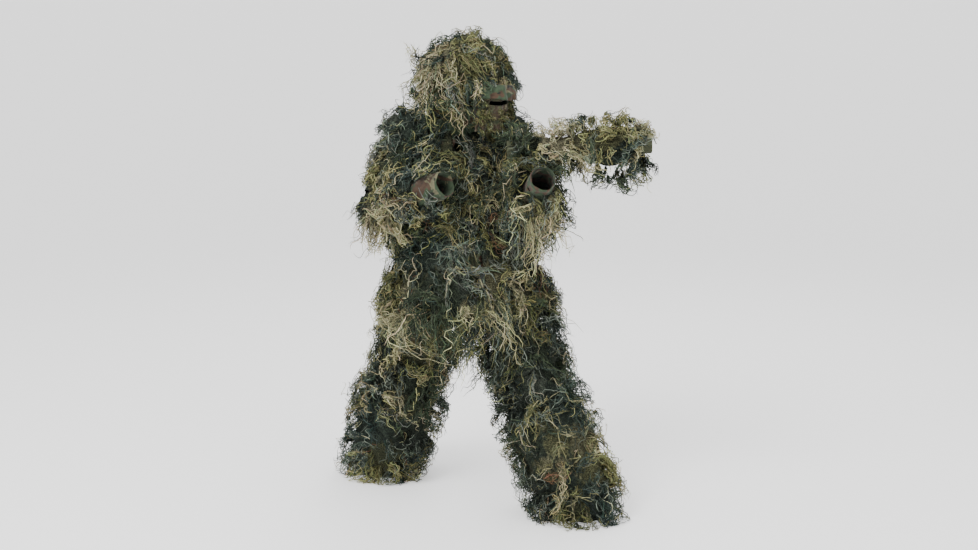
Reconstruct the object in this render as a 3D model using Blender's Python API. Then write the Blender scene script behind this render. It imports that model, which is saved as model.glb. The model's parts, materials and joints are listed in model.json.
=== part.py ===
"""A ghillie suit standing in its worn shape: hooded jacket, trousers and a wrap for a long tool.

Every garment panel is a hollow shell, and the thread cover over it is a thicker shell of its own.
Points are written in metres above the ground under the hems: +X to the wearer's left, +Y to the
back. The model's origin is YOKE, the middle of the shoulders that the suit hangs from.
"""
import math

import bmesh
import bpy
from mathutils import Matrix, Vector

# ---- driving dimensions, metres ----
YOKE = Vector((-0.08, 0.0, 1.42))
TORSO_YAW = math.radians(12)
HEAD_YAW = math.radians(38)

CLOTH = 0.004            # thickness of the camouflage cloth with its net
GAP = 0.0006             # play between pieces of one body
PLAY = 0.004             # play between pieces of bodies that move past each other
BALL_PLAY = 1.09         # a socket's radius over its ball's, so that flat facets pass
LIMB_SIDES = 12
TORSO_SIDES = 16

RIGHT_SHOULDER = Vector((-0.240, -0.020, 1.365))
RIGHT_ELBOW = Vector((-0.325, -0.140, 1.115))
RIGHT_WRIST = Vector((-0.130, -0.305, 1.205))
LEFT_SHOULDER = Vector((0.106, 0.034, 1.365))
LEFT_ELBOW = Vector((0.190, -0.120, 1.090))
LEFT_WRIST = Vector((0.228, -0.345, 1.220))
SHOULDER_BALL = 0.108
ELBOW_BALL = 0.104
UPPER_SLEEVE_R = (0.072, 0.072, 0.070, 0.068, 0.066)
UPPER_THREAD_R = (0.098, 0.106, 0.108, 0.102, 0.092)
FORE_SLEEVE_R = (0.064, 0.062, 0.057, 0.050, 0.046)
FORE_THREAD_R = (0.090, 0.102, 0.098, 0.088, 0.074)
CUFF_LENGTH = 0.045
CUFF_PINCH = 0.003       # how much the elastic draws the cuff in
FORE_COVER = 4           # rings of the forearm that carry threads, from the elbow down
# Degrees of swing at which the sleeve presses the jacket's threads flat
SHOULDER_ROOM = {"right": (), "left": (6, 12, 18)}
ELBOW_ROOM = {"right": (8, 16, 24, 32, 40), "left": ()}

RIGHT_HIP = Vector((-0.115, 0.020, 0.840))
RIGHT_KNEE = Vector((-0.270, 0.150, 0.460))
RIGHT_ANKLE = Vector((-0.372, 0.320, 0.055))
LEFT_HIP = Vector((0.085, -0.020, 0.840))
LEFT_KNEE = Vector((0.220, -0.095, 0.460))
LEFT_ANKLE = Vector((0.372, -0.190, 0.055))
HIP_BALL = 0.118
KNEE_BALL = 0.156
THIGH_STATIONS = (0.0, 0.30, 0.60, 0.80, 1.0)
THIGH_R = (0.105, 0.105, 0.102, 0.098, 0.094)
THIGH_THREAD_R = (0.150, 0.150, 0.158, 0.152, 0.134)
THIGH_BARE = 2           # rings of the thigh under the jacket's hem, without threads
SHIN_STATIONS = (0.0, 0.34, 0.68, 1.0)
SHIN_R = (0.094, 0.098, 0.100, 0.092)
SHIN_THREAD_R = (0.134, 0.182, 0.196, 0.176)
HEM_THREAD_R = 0.150
HEM_BAND = 0.030

# Jacket stations: height, half width, half depth of the cloth, thickness of the threads
HEM_HEIGHT = 0.74
JACKET = (
    (HEM_HEIGHT, 0.295, 0.260, 0.032),
    (0.90, 0.238, 0.188, 0.040),
    (1.10, 0.212, 0.160, 0.046),
    (1.25, 0.212, 0.150, 0.044),
    (1.34, 0.195, 0.128, 0.036),
    (1.41, 0.110, 0.098, 0.026),
)
HEM_FRINGE = (0.715, 0.302, 0.266, 0.034)
FRONT_LOW = Vector((0.026, -0.246, HEM_HEIGHT))
FRONT_HIGH = Vector((-0.042, -0.148, 1.25))
THREAD_SEAT = 0.0070     # play between the jacket and the threads on it
CHEST_SLOPE = 0.35       # how fast the front falls back above the zip
FRONT_EDGE = 0.0115      # half the width left open for the zip
THREAD_EDGE = 0.030      # half the width that the threads leave open beside the zip

# The zip: where its closed length starts and ends, and the sizes of its parts
ZIP_LOW = 0.775
ZIP_HIGH = 1.245
TAPE_WIDE = 0.0075
TAPE_THICK = 0.0014
CHAIN_WIDE = 0.0052
CHAIN_THICK = 0.0030
STOP_SIZE = (0.009, 0.004, 0.008)
SLIDER_SIZE = (0.012, 0.0055, 0.014)
SLIDER_RISE = 0.0045     # the slider's middle above the chain's
PULL_RISE = 0.0055       # the pull's hinge above the slider's middle
PULL_SIZE = (0.008, 0.0022, 0.034)
PULL_EYE_SIZE = (0.0045, 0.01, 0.007)

# Seat of the trousers: height, half width, half depth
WAIST = ((0.84, 0.196, 0.112), (0.93, 0.180, 0.122), (1.0, 0.160, 0.118))
WAISTBAND_TOP = 1.036
LEG_WAY_R = 0.088        # the passage from the seat into a leg

COLLAR_R = 0.078
COLLAR_MIDDLE = Vector((-0.070, 0.012, 0.0))
COLLAR_LOW = 1.418
COLLAR_HIGH = 1.470

# Hood stations: height, half width, half depth of the cloth, thickness of the threads
HOOD_MIDDLE = Vector((-0.035, -0.015, 0.0))
HOOD = (
    (1.438, 0.122, 0.130, 0.050),
    (1.470, 0.126, 0.138, 0.062),
    (1.540, 0.134, 0.146, 0.066),
    (1.620, 0.126, 0.138, 0.064),
    (1.672, 0.092, 0.102, 0.064),
    (1.700, 0.040, 0.046, 0.060),
)
HOOD_TOP = 1.708
HOOD_THREAD_TOP = 1.752
NAPE = Vector((-0.070, 0.118, 1.440))
HOOD_LIFT = (0.0, 0.0, 0.010, 0.022, 0.036)   # how far the crown's threads stand up
FACE_WIDTH = 0.170
FACE_LOW = 1.400
FACE_HIGH = 1.545
FACE_REACH = 0.160       # from the hood's middle to the middle of the cut for the face
FACE_DEPTH = 0.22
BRIM_REACH = 0.052
BRIM_THICK = 0.005
BRIM_ARC = range(-125, -54, 10)
BRIM_ROOM_ARC = range(-129, -50, 13)
BRIM_ROOM = 0.030
VEIL_DROP = 0.150
VEIL_WIDTH = 0.150
VEIL_THICK = 0.003
VEIL_ARC = range(-110, -69, 5)
VEIL_HALF_ARC = math.radians(20)
SLOT_SIZE = (0.082, 0.05, 0.022)
SLOT_DROP = 0.36         # the eye slot's middle, as a share of the veil's drop
SNAP_R = 0.006
SNAP_SPREAD = 0.062
SNAP_THICK = 0.003

WRAP_REAR = Vector((0.118, -0.262, 1.332))
WRAP_FRONT = Vector((0.610, -0.262, 1.352))
WRAP_R = 0.030
WRAP_CLOTH = 0.003
WRAP_BANDS = (("rear", 0.008, 0.050), ("front", 0.945, 0.987))
WRAP_STATIONS = (0.07, 0.25, 0.45, 0.60, 0.78, 0.93)
WRAP_THREAD_R = (0.042, 0.050, 0.056, 0.112, 0.132, 0.096)

SIDEWAYS = Vector((math.cos(TORSO_YAW), math.sin(TORSO_YAW), 0.0))
BACKWARD = Vector((-math.sin(TORSO_YAW), math.cos(TORSO_YAW), 0.0))
UP = Vector((0.0, 0.0, 1.0))

# Cloth and thread colours, linear
WOODLAND = (0.072, 0.086, 0.040)
RED_BROWN = (0.105, 0.052, 0.030)
DARK_THREAD = (0.018, 0.030, 0.018)
FOREST_THREAD = (0.026, 0.048, 0.030)
OLIVE_THREAD = (0.070, 0.082, 0.030)
MOSS_THREAD = (0.140, 0.150, 0.050)
WEBBING = (0.045, 0.050, 0.028)
BLACK_METAL = (0.020, 0.020, 0.020)


def clear_scene():
    """Remove every object that the file starts with."""
    for old in list(bpy.data.objects):
        bpy.data.objects.remove(old, do_unlink=True)


def pivot(name, point, parent=None):
    """An empty on a joint's axis, which the pieces that turn about it hang from."""
    empty = bpy.data.objects.new(name, None)
    empty["point"] = tuple(point)
    base = Vector(parent["point"]) if parent else YOKE
    empty.location = Vector(point) - base
    empty.parent = parent
    bpy.context.scene.collection.objects.link(empty)
    return empty


def add_object(name, shape, joint):
    """Turn a bmesh in ground coordinates into an object on the given pivot."""
    point = Vector(joint["point"])
    bmesh.ops.translate(shape, verts=shape.verts, vec=-point)
    bmesh.ops.recalc_face_normals(shape, faces=shape.faces)
    mesh = bpy.data.meshes.new(name)
    shape.to_mesh(mesh)
    shape.free()
    item = bpy.data.objects.new(name, mesh)
    item.parent = joint
    bpy.context.scene.collection.objects.link(item)
    return item


def add_piece(name, shape, joint, colour, roughness=0.95, metallic=0.0):
    """A sub-part of the suit with a material of its own."""
    item = add_object(name, shape, joint)
    material = bpy.data.materials.new(name)
    material.use_nodes = True
    surface = material.node_tree.nodes["Principled BSDF"]
    surface.inputs["Base Color"].default_value = (*colour, 1.0)
    surface.inputs["Roughness"].default_value = roughness
    surface.inputs["Metallic"].default_value = metallic
    item.data.materials.append(material)
    return item


def add_cutter(name, shape, joint):
    """A hidden solid that only trims its neighbours."""
    item = add_object(name, shape, joint)
    item.hide_render = True
    item.display_type = "WIRE"
    return item


def trim(item, cutters, operation="DIFFERENCE"):
    """Cut an object by each of the cutters, or join them to it."""
    for cutter in cutters:
        boolean = item.modifiers.new(cutter.name, "BOOLEAN")
        boolean.operation = operation
        boolean.solver = "EXACT"
        boolean.object = cutter


def ellipse(center, axis, side, half_wide, half_deep, angles):
    """Points around an ellipse across an axis, with angle 0 towards side."""
    along = axis.normalized()
    wide = (side - along * side.dot(along)).normalized()
    deep = along.cross(wide)
    return [
        center + wide * (half_wide * math.cos(a)) + deep * (half_deep * math.sin(a))
        for a in angles
    ]


def full_turn(sides):
    """Angles of the corners of a whole ring."""
    return [2.0 * math.pi * i / sides for i in range(sides)]


def skin(shape, rows, wrap):
    """Cover a grid of vertices with triangles, all split the same way."""
    count = len(rows[0])
    for low, high in zip(rows, rows[1:]):
        for i in range(count if wrap else count - 1):
            j = (i + 1) % count
            shape.faces.new((low[i], low[j], high[j]))
            shape.faces.new((low[i], high[j], high[i]))


def wall(outer, inner, wrap=True):
    """A closed wall between an outer and an inner grid of points."""
    shape = bmesh.new()
    out_rows = [[shape.verts.new(p) for p in row] for row in outer]
    in_rows = [[shape.verts.new(p) for p in row] for row in inner]
    skin(shape, out_rows, wrap)
    skin(shape, in_rows, wrap)
    skin(shape, [out_rows[0], in_rows[0]], wrap)
    skin(shape, [out_rows[-1], in_rows[-1]], wrap)
    if not wrap:
        for end in (0, -1):
            outer_edge = [row[end] for row in out_rows]
            inner_edge = [row[end] for row in in_rows]
            skin(shape, [outer_edge, inner_edge], False)
    return shape


def dome(outer, outer_top, inner, inner_top):
    """A cap-shaped closed wall: two grids that each close at a top point, joined at the rim."""
    shape = bmesh.new()
    rims = []
    for grid, top in ((outer, outer_top), (inner, inner_top)):
        rows = [[shape.verts.new(p) for p in row] for row in grid]
        skin(shape, rows, True)
        peak = shape.verts.new(top)
        last = rows[-1]
        for i, corner in enumerate(last):
            shape.faces.new((corner, last[(i + 1) % len(last)], peak))
        rims.append(rows[0])
    skin(shape, rims, True)
    return shape


def plug(rows):
    """A closed solid from rings of points, with flat ends."""
    shape = bmesh.new()
    grid = [[shape.verts.new(p) for p in row] for row in rows]
    skin(shape, grid, True)
    shape.faces.new(grid[0])
    shape.faces.new(grid[-1])
    bmesh.ops.triangulate(shape, faces=shape.faces)
    return shape


def ball(center, radius, sides=LIMB_SIDES, rings=7):
    """A faceted sphere."""
    shape = bmesh.new()
    bmesh.ops.create_uvsphere(shape, u_segments=sides, v_segments=rings, radius=radius)
    bmesh.ops.translate(shape, verts=shape.verts, vec=center)
    return shape


def block(center, size, rotation=None, bevel=0.0):
    """A box of the given size, turned about its centre, with rounded edges if asked."""
    shape = bmesh.new()
    bmesh.ops.create_cube(shape, size=1.0)
    bmesh.ops.scale(shape, verts=shape.verts, vec=size)
    if bevel:
        bmesh.ops.bevel(shape, geom=shape.edges, offset=bevel, segments=1, affect="EDGES")
    if rotation:
        bmesh.ops.rotate(shape, verts=shape.verts, cent=(0, 0, 0), matrix=rotation)
    bmesh.ops.translate(shape, verts=shape.verts, vec=center)
    return shape


def rod(start, end, radius, sides=LIMB_SIDES):
    """A round bar between two points."""
    axis = end - start
    side = axis.orthogonal()
    angles = full_turn(sides)
    return plug([ellipse(p, axis, side, radius, radius, angles) for p in (start, end)])


def basis(sideways, backward):
    """The rotation whose X runs sideways, Y backward and Z up."""
    return Matrix((sideways, backward, sideways.cross(backward))).transposed()


# ---- limbs ----
def limb_rows(start, end, shares, radii, grow=0.0, last_axis=None):
    """Rings along a limb from one joint to the next, with the given radii."""
    axis = end - start
    side = SIDEWAYS if abs(axis.normalized().dot(SIDEWAYS)) < 0.7 else UP
    rows = []
    for share, radius in zip(shares, radii):
        across = last_axis if last_axis and share == shares[-1] else axis
        size = radius + grow
        rows.append(ellipse(start.lerp(end, share), across, side, size, size,
                            full_turn(LIMB_SIDES)))
    return rows


def limb_wall(start, end, shares, outer_r, inner_r, last_axis=None):
    """A hollow length of sleeve or trouser leg."""
    outer = limb_rows(start, end, shares, outer_r, last_axis=last_axis)
    inner = limb_rows(start, end, shares, inner_r, last_axis=last_axis)
    return wall(outer, inner)


def grown(radii, amount):
    """Each radius plus an amount."""
    return tuple(radius + amount for radius in radii)


def turned(rows, point, axis, degrees):
    """Rings turned about a joint's axis."""
    turn = Matrix.Rotation(math.radians(degrees), 3, axis)
    return [[point + turn @ (corner - point) for corner in row] for row in rows]


def joint_cap(name, point, radius, hollow, ways, joint, colour):
    """The round thread cover over a joint, open to the limb on both sides."""
    piece = add_piece(name, ball(point, radius), joint, colour)
    cutters = [add_cutter(name + "_hollow", ball(point, hollow), joint)]
    for index, way in enumerate(ways):
        far = point + way.normalized() * (radius * 1.4)
        passage = rod(point, far, hollow * 0.88)
        cutters.append(add_cutter(f"{name}_way_{index}", passage, joint))
    trim(piece, cutters)
    return piece


def even(count):
    """Evenly spaced shares from 0 to 1."""
    return tuple(i / (count - 1) for i in range(count))


def make_arm(side, shoulder, elbow, wrist, torso, colours):
    """One sleeve: shoulder cap, upper sleeve, elbow cap, forearm sleeve and cuff."""
    shares = even(len(UPPER_SLEEVE_R))
    upper = pivot(f"{side}_shoulder_joint", shoulder, torso)
    fore = pivot(f"{side}_elbow_joint", elbow, upper)
    inboard = (YOKE - shoulder) * Vector((1.0, 1.0, 0.0)) - UP * 0.05
    cap = joint_cap(f"{side}_shoulder_threads", shoulder, SHOULDER_BALL, UPPER_SLEEVE_R[0],
                    (inboard, elbow - shoulder), torso, colours[0])
    neck = rod(COLLAR_MIDDLE + UP * COLLAR_LOW, COLLAR_MIDDLE + UP * HOOD_TOP,
               COLLAR_R + 3 * GAP)
    trim(cap, (add_cutter(f"{side}_neck_room", neck, torso),))
    joint_cap(f"{side}_elbow_threads", elbow, ELBOW_BALL, FORE_SLEEVE_R[0] - CLOTH,
              (shoulder - elbow, wrist - elbow), upper, colours[1])

    socket = add_cutter(f"{side}_shoulder_socket", ball(shoulder, SHOULDER_BALL * BALL_PLAY), torso)
    upper_end = add_cutter(f"{side}_upper_end", ball(elbow, ELBOW_BALL + GAP), upper)
    cloth = add_piece(f"{side}_upper_sleeve",
                      limb_wall(shoulder, elbow, shares, UPPER_SLEEVE_R,
                                grown(UPPER_SLEEVE_R, -CLOTH)), upper, WOODLAND)
    threads = add_piece(f"{side}_upper_sleeve_threads",
                        limb_wall(shoulder, elbow, shares, UPPER_THREAD_R,
                                  grown(UPPER_SLEEVE_R, GAP)), upper, colours[2])
    trim(cloth, (socket, upper_end))
    trim(threads, (socket, upper_end))

    shares = even(len(FORE_SLEEVE_R))
    elbow_socket = add_cutter(f"{side}_elbow_socket", ball(elbow, ELBOW_BALL * BALL_PLAY), upper)
    upper_keepout = add_cutter(f"{side}_upper_keepout",
                               plug(limb_rows(shoulder, elbow, even(5), UPPER_THREAD_R, PLAY)),
                               upper)
    cloth = add_piece(f"{side}_forearm_sleeve",
                      limb_wall(elbow, wrist, shares, FORE_SLEEVE_R,
                                grown(FORE_SLEEVE_R, -CLOTH)), fore, WOODLAND)
    threads = add_piece(f"{side}_forearm_threads",
                        limb_wall(elbow, wrist, shares[:FORE_COVER], FORE_THREAD_R[:FORE_COVER],
                                  grown(FORE_SLEEVE_R[:FORE_COVER], GAP)), fore, colours[3])
    trim(cloth, (elbow_socket, upper_keepout))
    trim(threads, (elbow_socket, upper_keepout))
    reach = (wrist - elbow).normalized()
    cuff_start = wrist + reach * GAP
    cuff_end = wrist + reach * CUFF_LENGTH
    cuff_r = (FORE_SLEEVE_R[-1], FORE_SLEEVE_R[-1] - CUFF_PINCH, FORE_SLEEVE_R[-1])
    add_piece(f"{side}_cuff",
              limb_wall(cuff_start, cuff_end, even(3), cuff_r, grown(cuff_r, -CLOTH)), fore,
              WOODLAND)
    keepouts = [socket, upper_keepout]
    keepouts.append(add_cutter(f"{side}_elbow_keepout", ball(elbow, ELBOW_BALL + PLAY), upper))
    fore_rows = limb_rows(elbow, wrist, even(5), FORE_THREAD_R, PLAY)
    keepouts.append(add_cutter(f"{side}_fore_keepout", plug(fore_rows), fore))
    return keepouts, swing_room(side, shoulder, elbow, wrist, fore_rows, torso)


def swing_room(side, shoulder, elbow, wrist, fore_rows, torso):
    """The room that the sleeve passes through, where the jacket's threads lie flatter."""
    outward = BACKWARD if side == "right" else -BACKWARD
    opening = (wrist - elbow).cross(elbow - shoulder).normalized()
    upper_rows = limb_rows(shoulder, elbow, even(5), UPPER_THREAD_R, PLAY)
    room = []
    for degrees in SHOULDER_ROOM[side]:
        rows = turned(upper_rows, shoulder, outward, degrees)
        room.append(add_cutter(f"{side}_upper_at_{degrees}", plug(rows), torso))
        middle = turned([[elbow]], shoulder, outward, degrees)[0][0]
        room.append(add_cutter(f"{side}_elbow_at_{degrees}", ball(middle, ELBOW_BALL + PLAY),
                               torso))
    for degrees in ELBOW_ROOM[side]:
        rows = turned(fore_rows, elbow, opening, degrees)
        room.append(add_cutter(f"{side}_fore_at_{degrees}", plug(rows), torso))
    return room


def make_leg(side, hip, knee, ankle, torso, hip_sockets, colours):
    """One trouser leg: thigh, knee cap, shin and hem band."""
    upper = pivot(f"{side}_hip_joint", hip, torso)
    lower = pivot(f"{side}_knee_joint", knee, upper)
    joint_cap(f"{side}_knee_threads", knee, KNEE_BALL, SHIN_R[0] - CLOTH,
              (hip - knee, ankle - knee), upper, colours[0])
    thigh_end = add_cutter(f"{side}_thigh_end", ball(knee, KNEE_BALL + GAP), upper)
    cloth = add_piece(f"{side}_thigh",
                      limb_wall(hip, knee, THIGH_STATIONS, THIGH_R, grown(THIGH_R, -CLOTH)),
                      upper, WOODLAND)
    trim(cloth, (*hip_sockets, thigh_end))
    threads = add_piece(f"{side}_thigh_threads",
                        limb_wall(hip, knee, THIGH_STATIONS[THIGH_BARE:],
                                  THIGH_THREAD_R[THIGH_BARE:],
                                  grown(THIGH_R[THIGH_BARE:], GAP)), upper, colours[1])
    trim(threads, (thigh_end,))

    knee_socket = add_cutter(f"{side}_knee_socket", ball(knee, KNEE_BALL * BALL_PLAY), upper)
    cloth = add_piece(f"{side}_shin",
                      limb_wall(knee, ankle, SHIN_STATIONS, SHIN_R, grown(SHIN_R, -CLOTH), UP * -1),
                      lower, WOODLAND)
    trim(cloth, (knee_socket,))
    outer = limb_rows(knee, ankle, SHIN_STATIONS, SHIN_THREAD_R, last_axis=UP * -1)
    inner = limb_rows(knee, ankle, SHIN_STATIONS, grown(SHIN_R, GAP), last_axis=UP * -1)
    ground = Vector((ankle.x, ankle.y, 0.0))
    for rows, radius in ((outer, HEM_THREAD_R), (inner, SHIN_R[-1] + GAP)):
        rows.append(ellipse(ground, UP * -1, SIDEWAYS, radius, radius, full_turn(LIMB_SIDES)))
    threads = add_piece(f"{side}_shin_threads", wall(outer, inner), lower, colours[2])
    trim(threads, (knee_socket,))
    band_low = ankle - UP * (HEM_BAND + GAP)
    band_high = ankle - UP * GAP
    add_piece(f"{side}_hem_band",
              limb_wall(band_high, band_low, (0.0, 1.0), (SHIN_R[-1], SHIN_R[-1]),
                        (SHIN_R[-1] - CLOTH, SHIN_R[-1] - CLOTH)), lower, WEBBING)


# ---- jacket ----
def front_point(height):
    """The point of the front opening at a height: a straight line up the jacket."""
    share = (height - FRONT_LOW.z) / (FRONT_HIGH.z - FRONT_LOW.z)
    recess = max(0.0, height - FRONT_HIGH.z) * CHEST_SLOPE
    return FRONT_LOW.lerp(FRONT_HIGH, share) + Vector((0.0, recess, 0.0))


def jacket_grid(stations, start, stop, steps, offset, edge):
    """A grid on the jacket from angle start to stop, kept a distance off the front line."""
    rows = []
    for height, half_wide, half_deep, threads in stations:
        grow = threads if offset == "threads" else offset
        center = front_point(height) + BACKWARD * half_deep
        wide, deep = half_wide + grow, half_deep + grow
        low = start + math.asin(edge[0] / wide)
        high = stop - math.asin(edge[1] / wide)
        angles = [low + (high - low) * i / steps for i in range(steps + 1)]
        rows.append(ellipse(center, UP, SIDEWAYS, wide, deep, angles))
    return rows


def jacket_panel(stations, start, stop, steps, edge, outer, inner):
    """A panel of the jacket between two offsets from its outer cloth face."""
    return wall(jacket_grid(stations, start, stop, steps, outer, edge),
                jacket_grid(stations, start, stop, steps, inner, edge), wrap=False)


def make_jacket(torso, keepouts, room):
    """Back, two fronts, their threads, the hem fringe and the collar."""
    half = math.pi
    front = 1.5 * math.pi
    panels = (
        ("jacket_back", 0.0, half, TORSO_SIDES // 2, (GAP / 2, GAP / 2), DARK_THREAD),
        ("jacket_front_right", half, front, TORSO_SIDES // 4, (GAP / 2, 1.0), FOREST_THREAD),
        ("jacket_front_left", -0.5 * half, 0.0, TORSO_SIDES // 4, (1.0, GAP / 2), OLIVE_THREAD),
    )
    for name, start, stop, steps, edge, colour in panels:
        cloth_edge = tuple(FRONT_EDGE if share == 1.0 else share for share in edge)
        thread_edge = tuple(THREAD_EDGE if share == 1.0 else share for share in edge)
        cloth = add_piece(name, jacket_panel(JACKET, start, stop, steps, cloth_edge, 0.0, -CLOTH),
                          torso, WOODLAND)
        threads = add_piece(name + "_threads",
                            jacket_panel(JACKET[1:], start, stop, steps, thread_edge,
                                         "threads", THREAD_SEAT), torso, colour)
        trim(cloth, keepouts)
        trim(threads, (*keepouts, *room))
        fringe = (HEM_FRINGE, JACKET[0], (JACKET[1][0] - 2 * GAP, *JACKET[1][1:]))
        add_piece(name.replace("jacket", "hem_fringe"),
                  jacket_panel(fringe, start, stop, steps, thread_edge, "threads", THREAD_SEAT),
                  torso, MOSS_THREAD)
    middle = COLLAR_MIDDLE
    angles = full_turn(LIMB_SIDES)
    grids = [
        [ellipse(middle + UP * z, UP, SIDEWAYS, r, r, angles) for z in (COLLAR_LOW, COLLAR_HIGH)]
        for r in (COLLAR_R, COLLAR_R - CLOTH)
    ]
    add_piece("collar", wall(*grids), torso, WOODLAND)


def make_zip(torso):
    """Two tapes, the closed chain between them, and a slider with its pull."""
    low, high = front_point(ZIP_LOW), front_point(ZIP_HIGH)
    along = (high - low).normalized()
    out = SIDEWAYS.cross(along).normalized()
    across = along.cross(out).normalized()
    turn = Matrix((across, out, along)).transposed()
    middle = (low + high) / 2 - out * (CLOTH / 2)
    length = (high - low).length
    for side, sign in (("right", -1), ("left", 1)):
        shift = across * (sign * (CHAIN_WIDE + TAPE_WIDE + 2 * GAP) / 2)
        add_piece(f"zip_tape_{side}",
                  block(middle + shift, (TAPE_WIDE, TAPE_THICK, length), turn), torso, WEBBING)
    add_piece("zip_chain", block(middle, (CHAIN_WIDE, CHAIN_THICK, length), turn), torso,
              WEBBING, 0.5)
    stop_point = low - along * (STOP_SIZE[2] / 2 + 0.001) - out * (CLOTH / 2)
    add_piece("zip_stop", block(stop_point, STOP_SIZE, turn, 0.001), torso,
              BLACK_METAL, 0.4, 0.8)

    slider_point = high - along * 0.012 + out * SLIDER_RISE
    slider_joint = pivot("zip_slide_joint", slider_point, torso)
    add_piece("zip_slider", block(slider_point, SLIDER_SIZE, turn, 0.0012), slider_joint,
              BLACK_METAL, 0.4, 0.8)
    pull_hinge = slider_point + out * PULL_RISE - along * 0.002
    pull_joint = pivot("zip_pull_joint", pull_hinge, slider_joint)
    pull_middle = pull_hinge + out * 0.001 - along * 0.016
    tab = add_piece("zip_pull", block(pull_middle, PULL_SIZE, turn, 0.0006), pull_joint,
                    BLACK_METAL, 0.4, 0.8)
    eye = pull_middle - along * 0.010
    trim(tab, (add_cutter("pull_eye", block(eye, PULL_EYE_SIZE, turn), pull_joint),))


# ---- trousers ----
def make_seat(torso):
    """The trouser seat: a waist tube that runs into two round hips, and its waistband."""
    middle = (RIGHT_HIP + LEFT_HIP) / 2
    angles = full_turn(TORSO_SIDES)

    def waist_row(height, wide, deep, grow):
        centre = Vector((middle.x, middle.y, height))
        return ellipse(centre, UP, Vector((1, 0, 0)), wide + grow, deep + grow, angles)

    outer = [waist_row(*level, 0.0) for level in WAIST]
    inner = [waist_row(height + rise, wide, deep, -CLOTH)
             for (height, wide, deep), rise in zip(WAIST, (-0.01, 0.0, 0.02))]
    seat = add_piece("trouser_seat", plug(outer), torso, WOODLAND)
    add_balls = [add_cutter(f"seat_hip_{i}", ball(hip, HIP_BALL), torso)
                 for i, hip in enumerate((RIGHT_HIP, LEFT_HIP))]
    trim(seat, add_balls, "UNION")
    hollow = [add_cutter("seat_hollow", plug(inner), torso)]
    for i, (hip, knee) in enumerate(((RIGHT_HIP, RIGHT_KNEE), (LEFT_HIP, LEFT_KNEE))):
        hollow.append(add_cutter(f"hip_hollow_{i}", ball(hip, HIP_BALL - CLOTH), torso))
        far = hip + (knee - hip).normalized() * 0.20
        hollow.append(add_cutter(f"hip_way_{i}", rod(hip, far, LEG_WAY_R), torso))
    trim(seat, hollow)
    top, wide, deep = WAIST[-1]
    band = [[waist_row(height, wide, deep, grow) for height in (top + GAP, WAISTBAND_TOP)]
            for grow in (0.0, -CLOTH)]
    add_piece("waistband", wall(*band), torso, WEBBING)
    return [add_cutter(f"hip_socket_{i}", ball(hip, HIP_BALL * BALL_PLAY), torso)
            for i, hip in enumerate((RIGHT_HIP, LEFT_HIP))]


# ---- hood ----
def hood_rows(stations, offset):
    """Rings of the hood, at an offset from its outer cloth face."""
    side = Vector((math.cos(HEAD_YAW), math.sin(HEAD_YAW), 0.0))
    rows = []
    for height, half_wide, half_deep, threads in stations:
        grow = threads if offset == "threads" else offset
        rows.append(ellipse(HOOD_MIDDLE + UP * height, UP, side, half_wide + grow,
                            half_deep + grow, full_turn(LIMB_SIDES)))
    return rows


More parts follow.
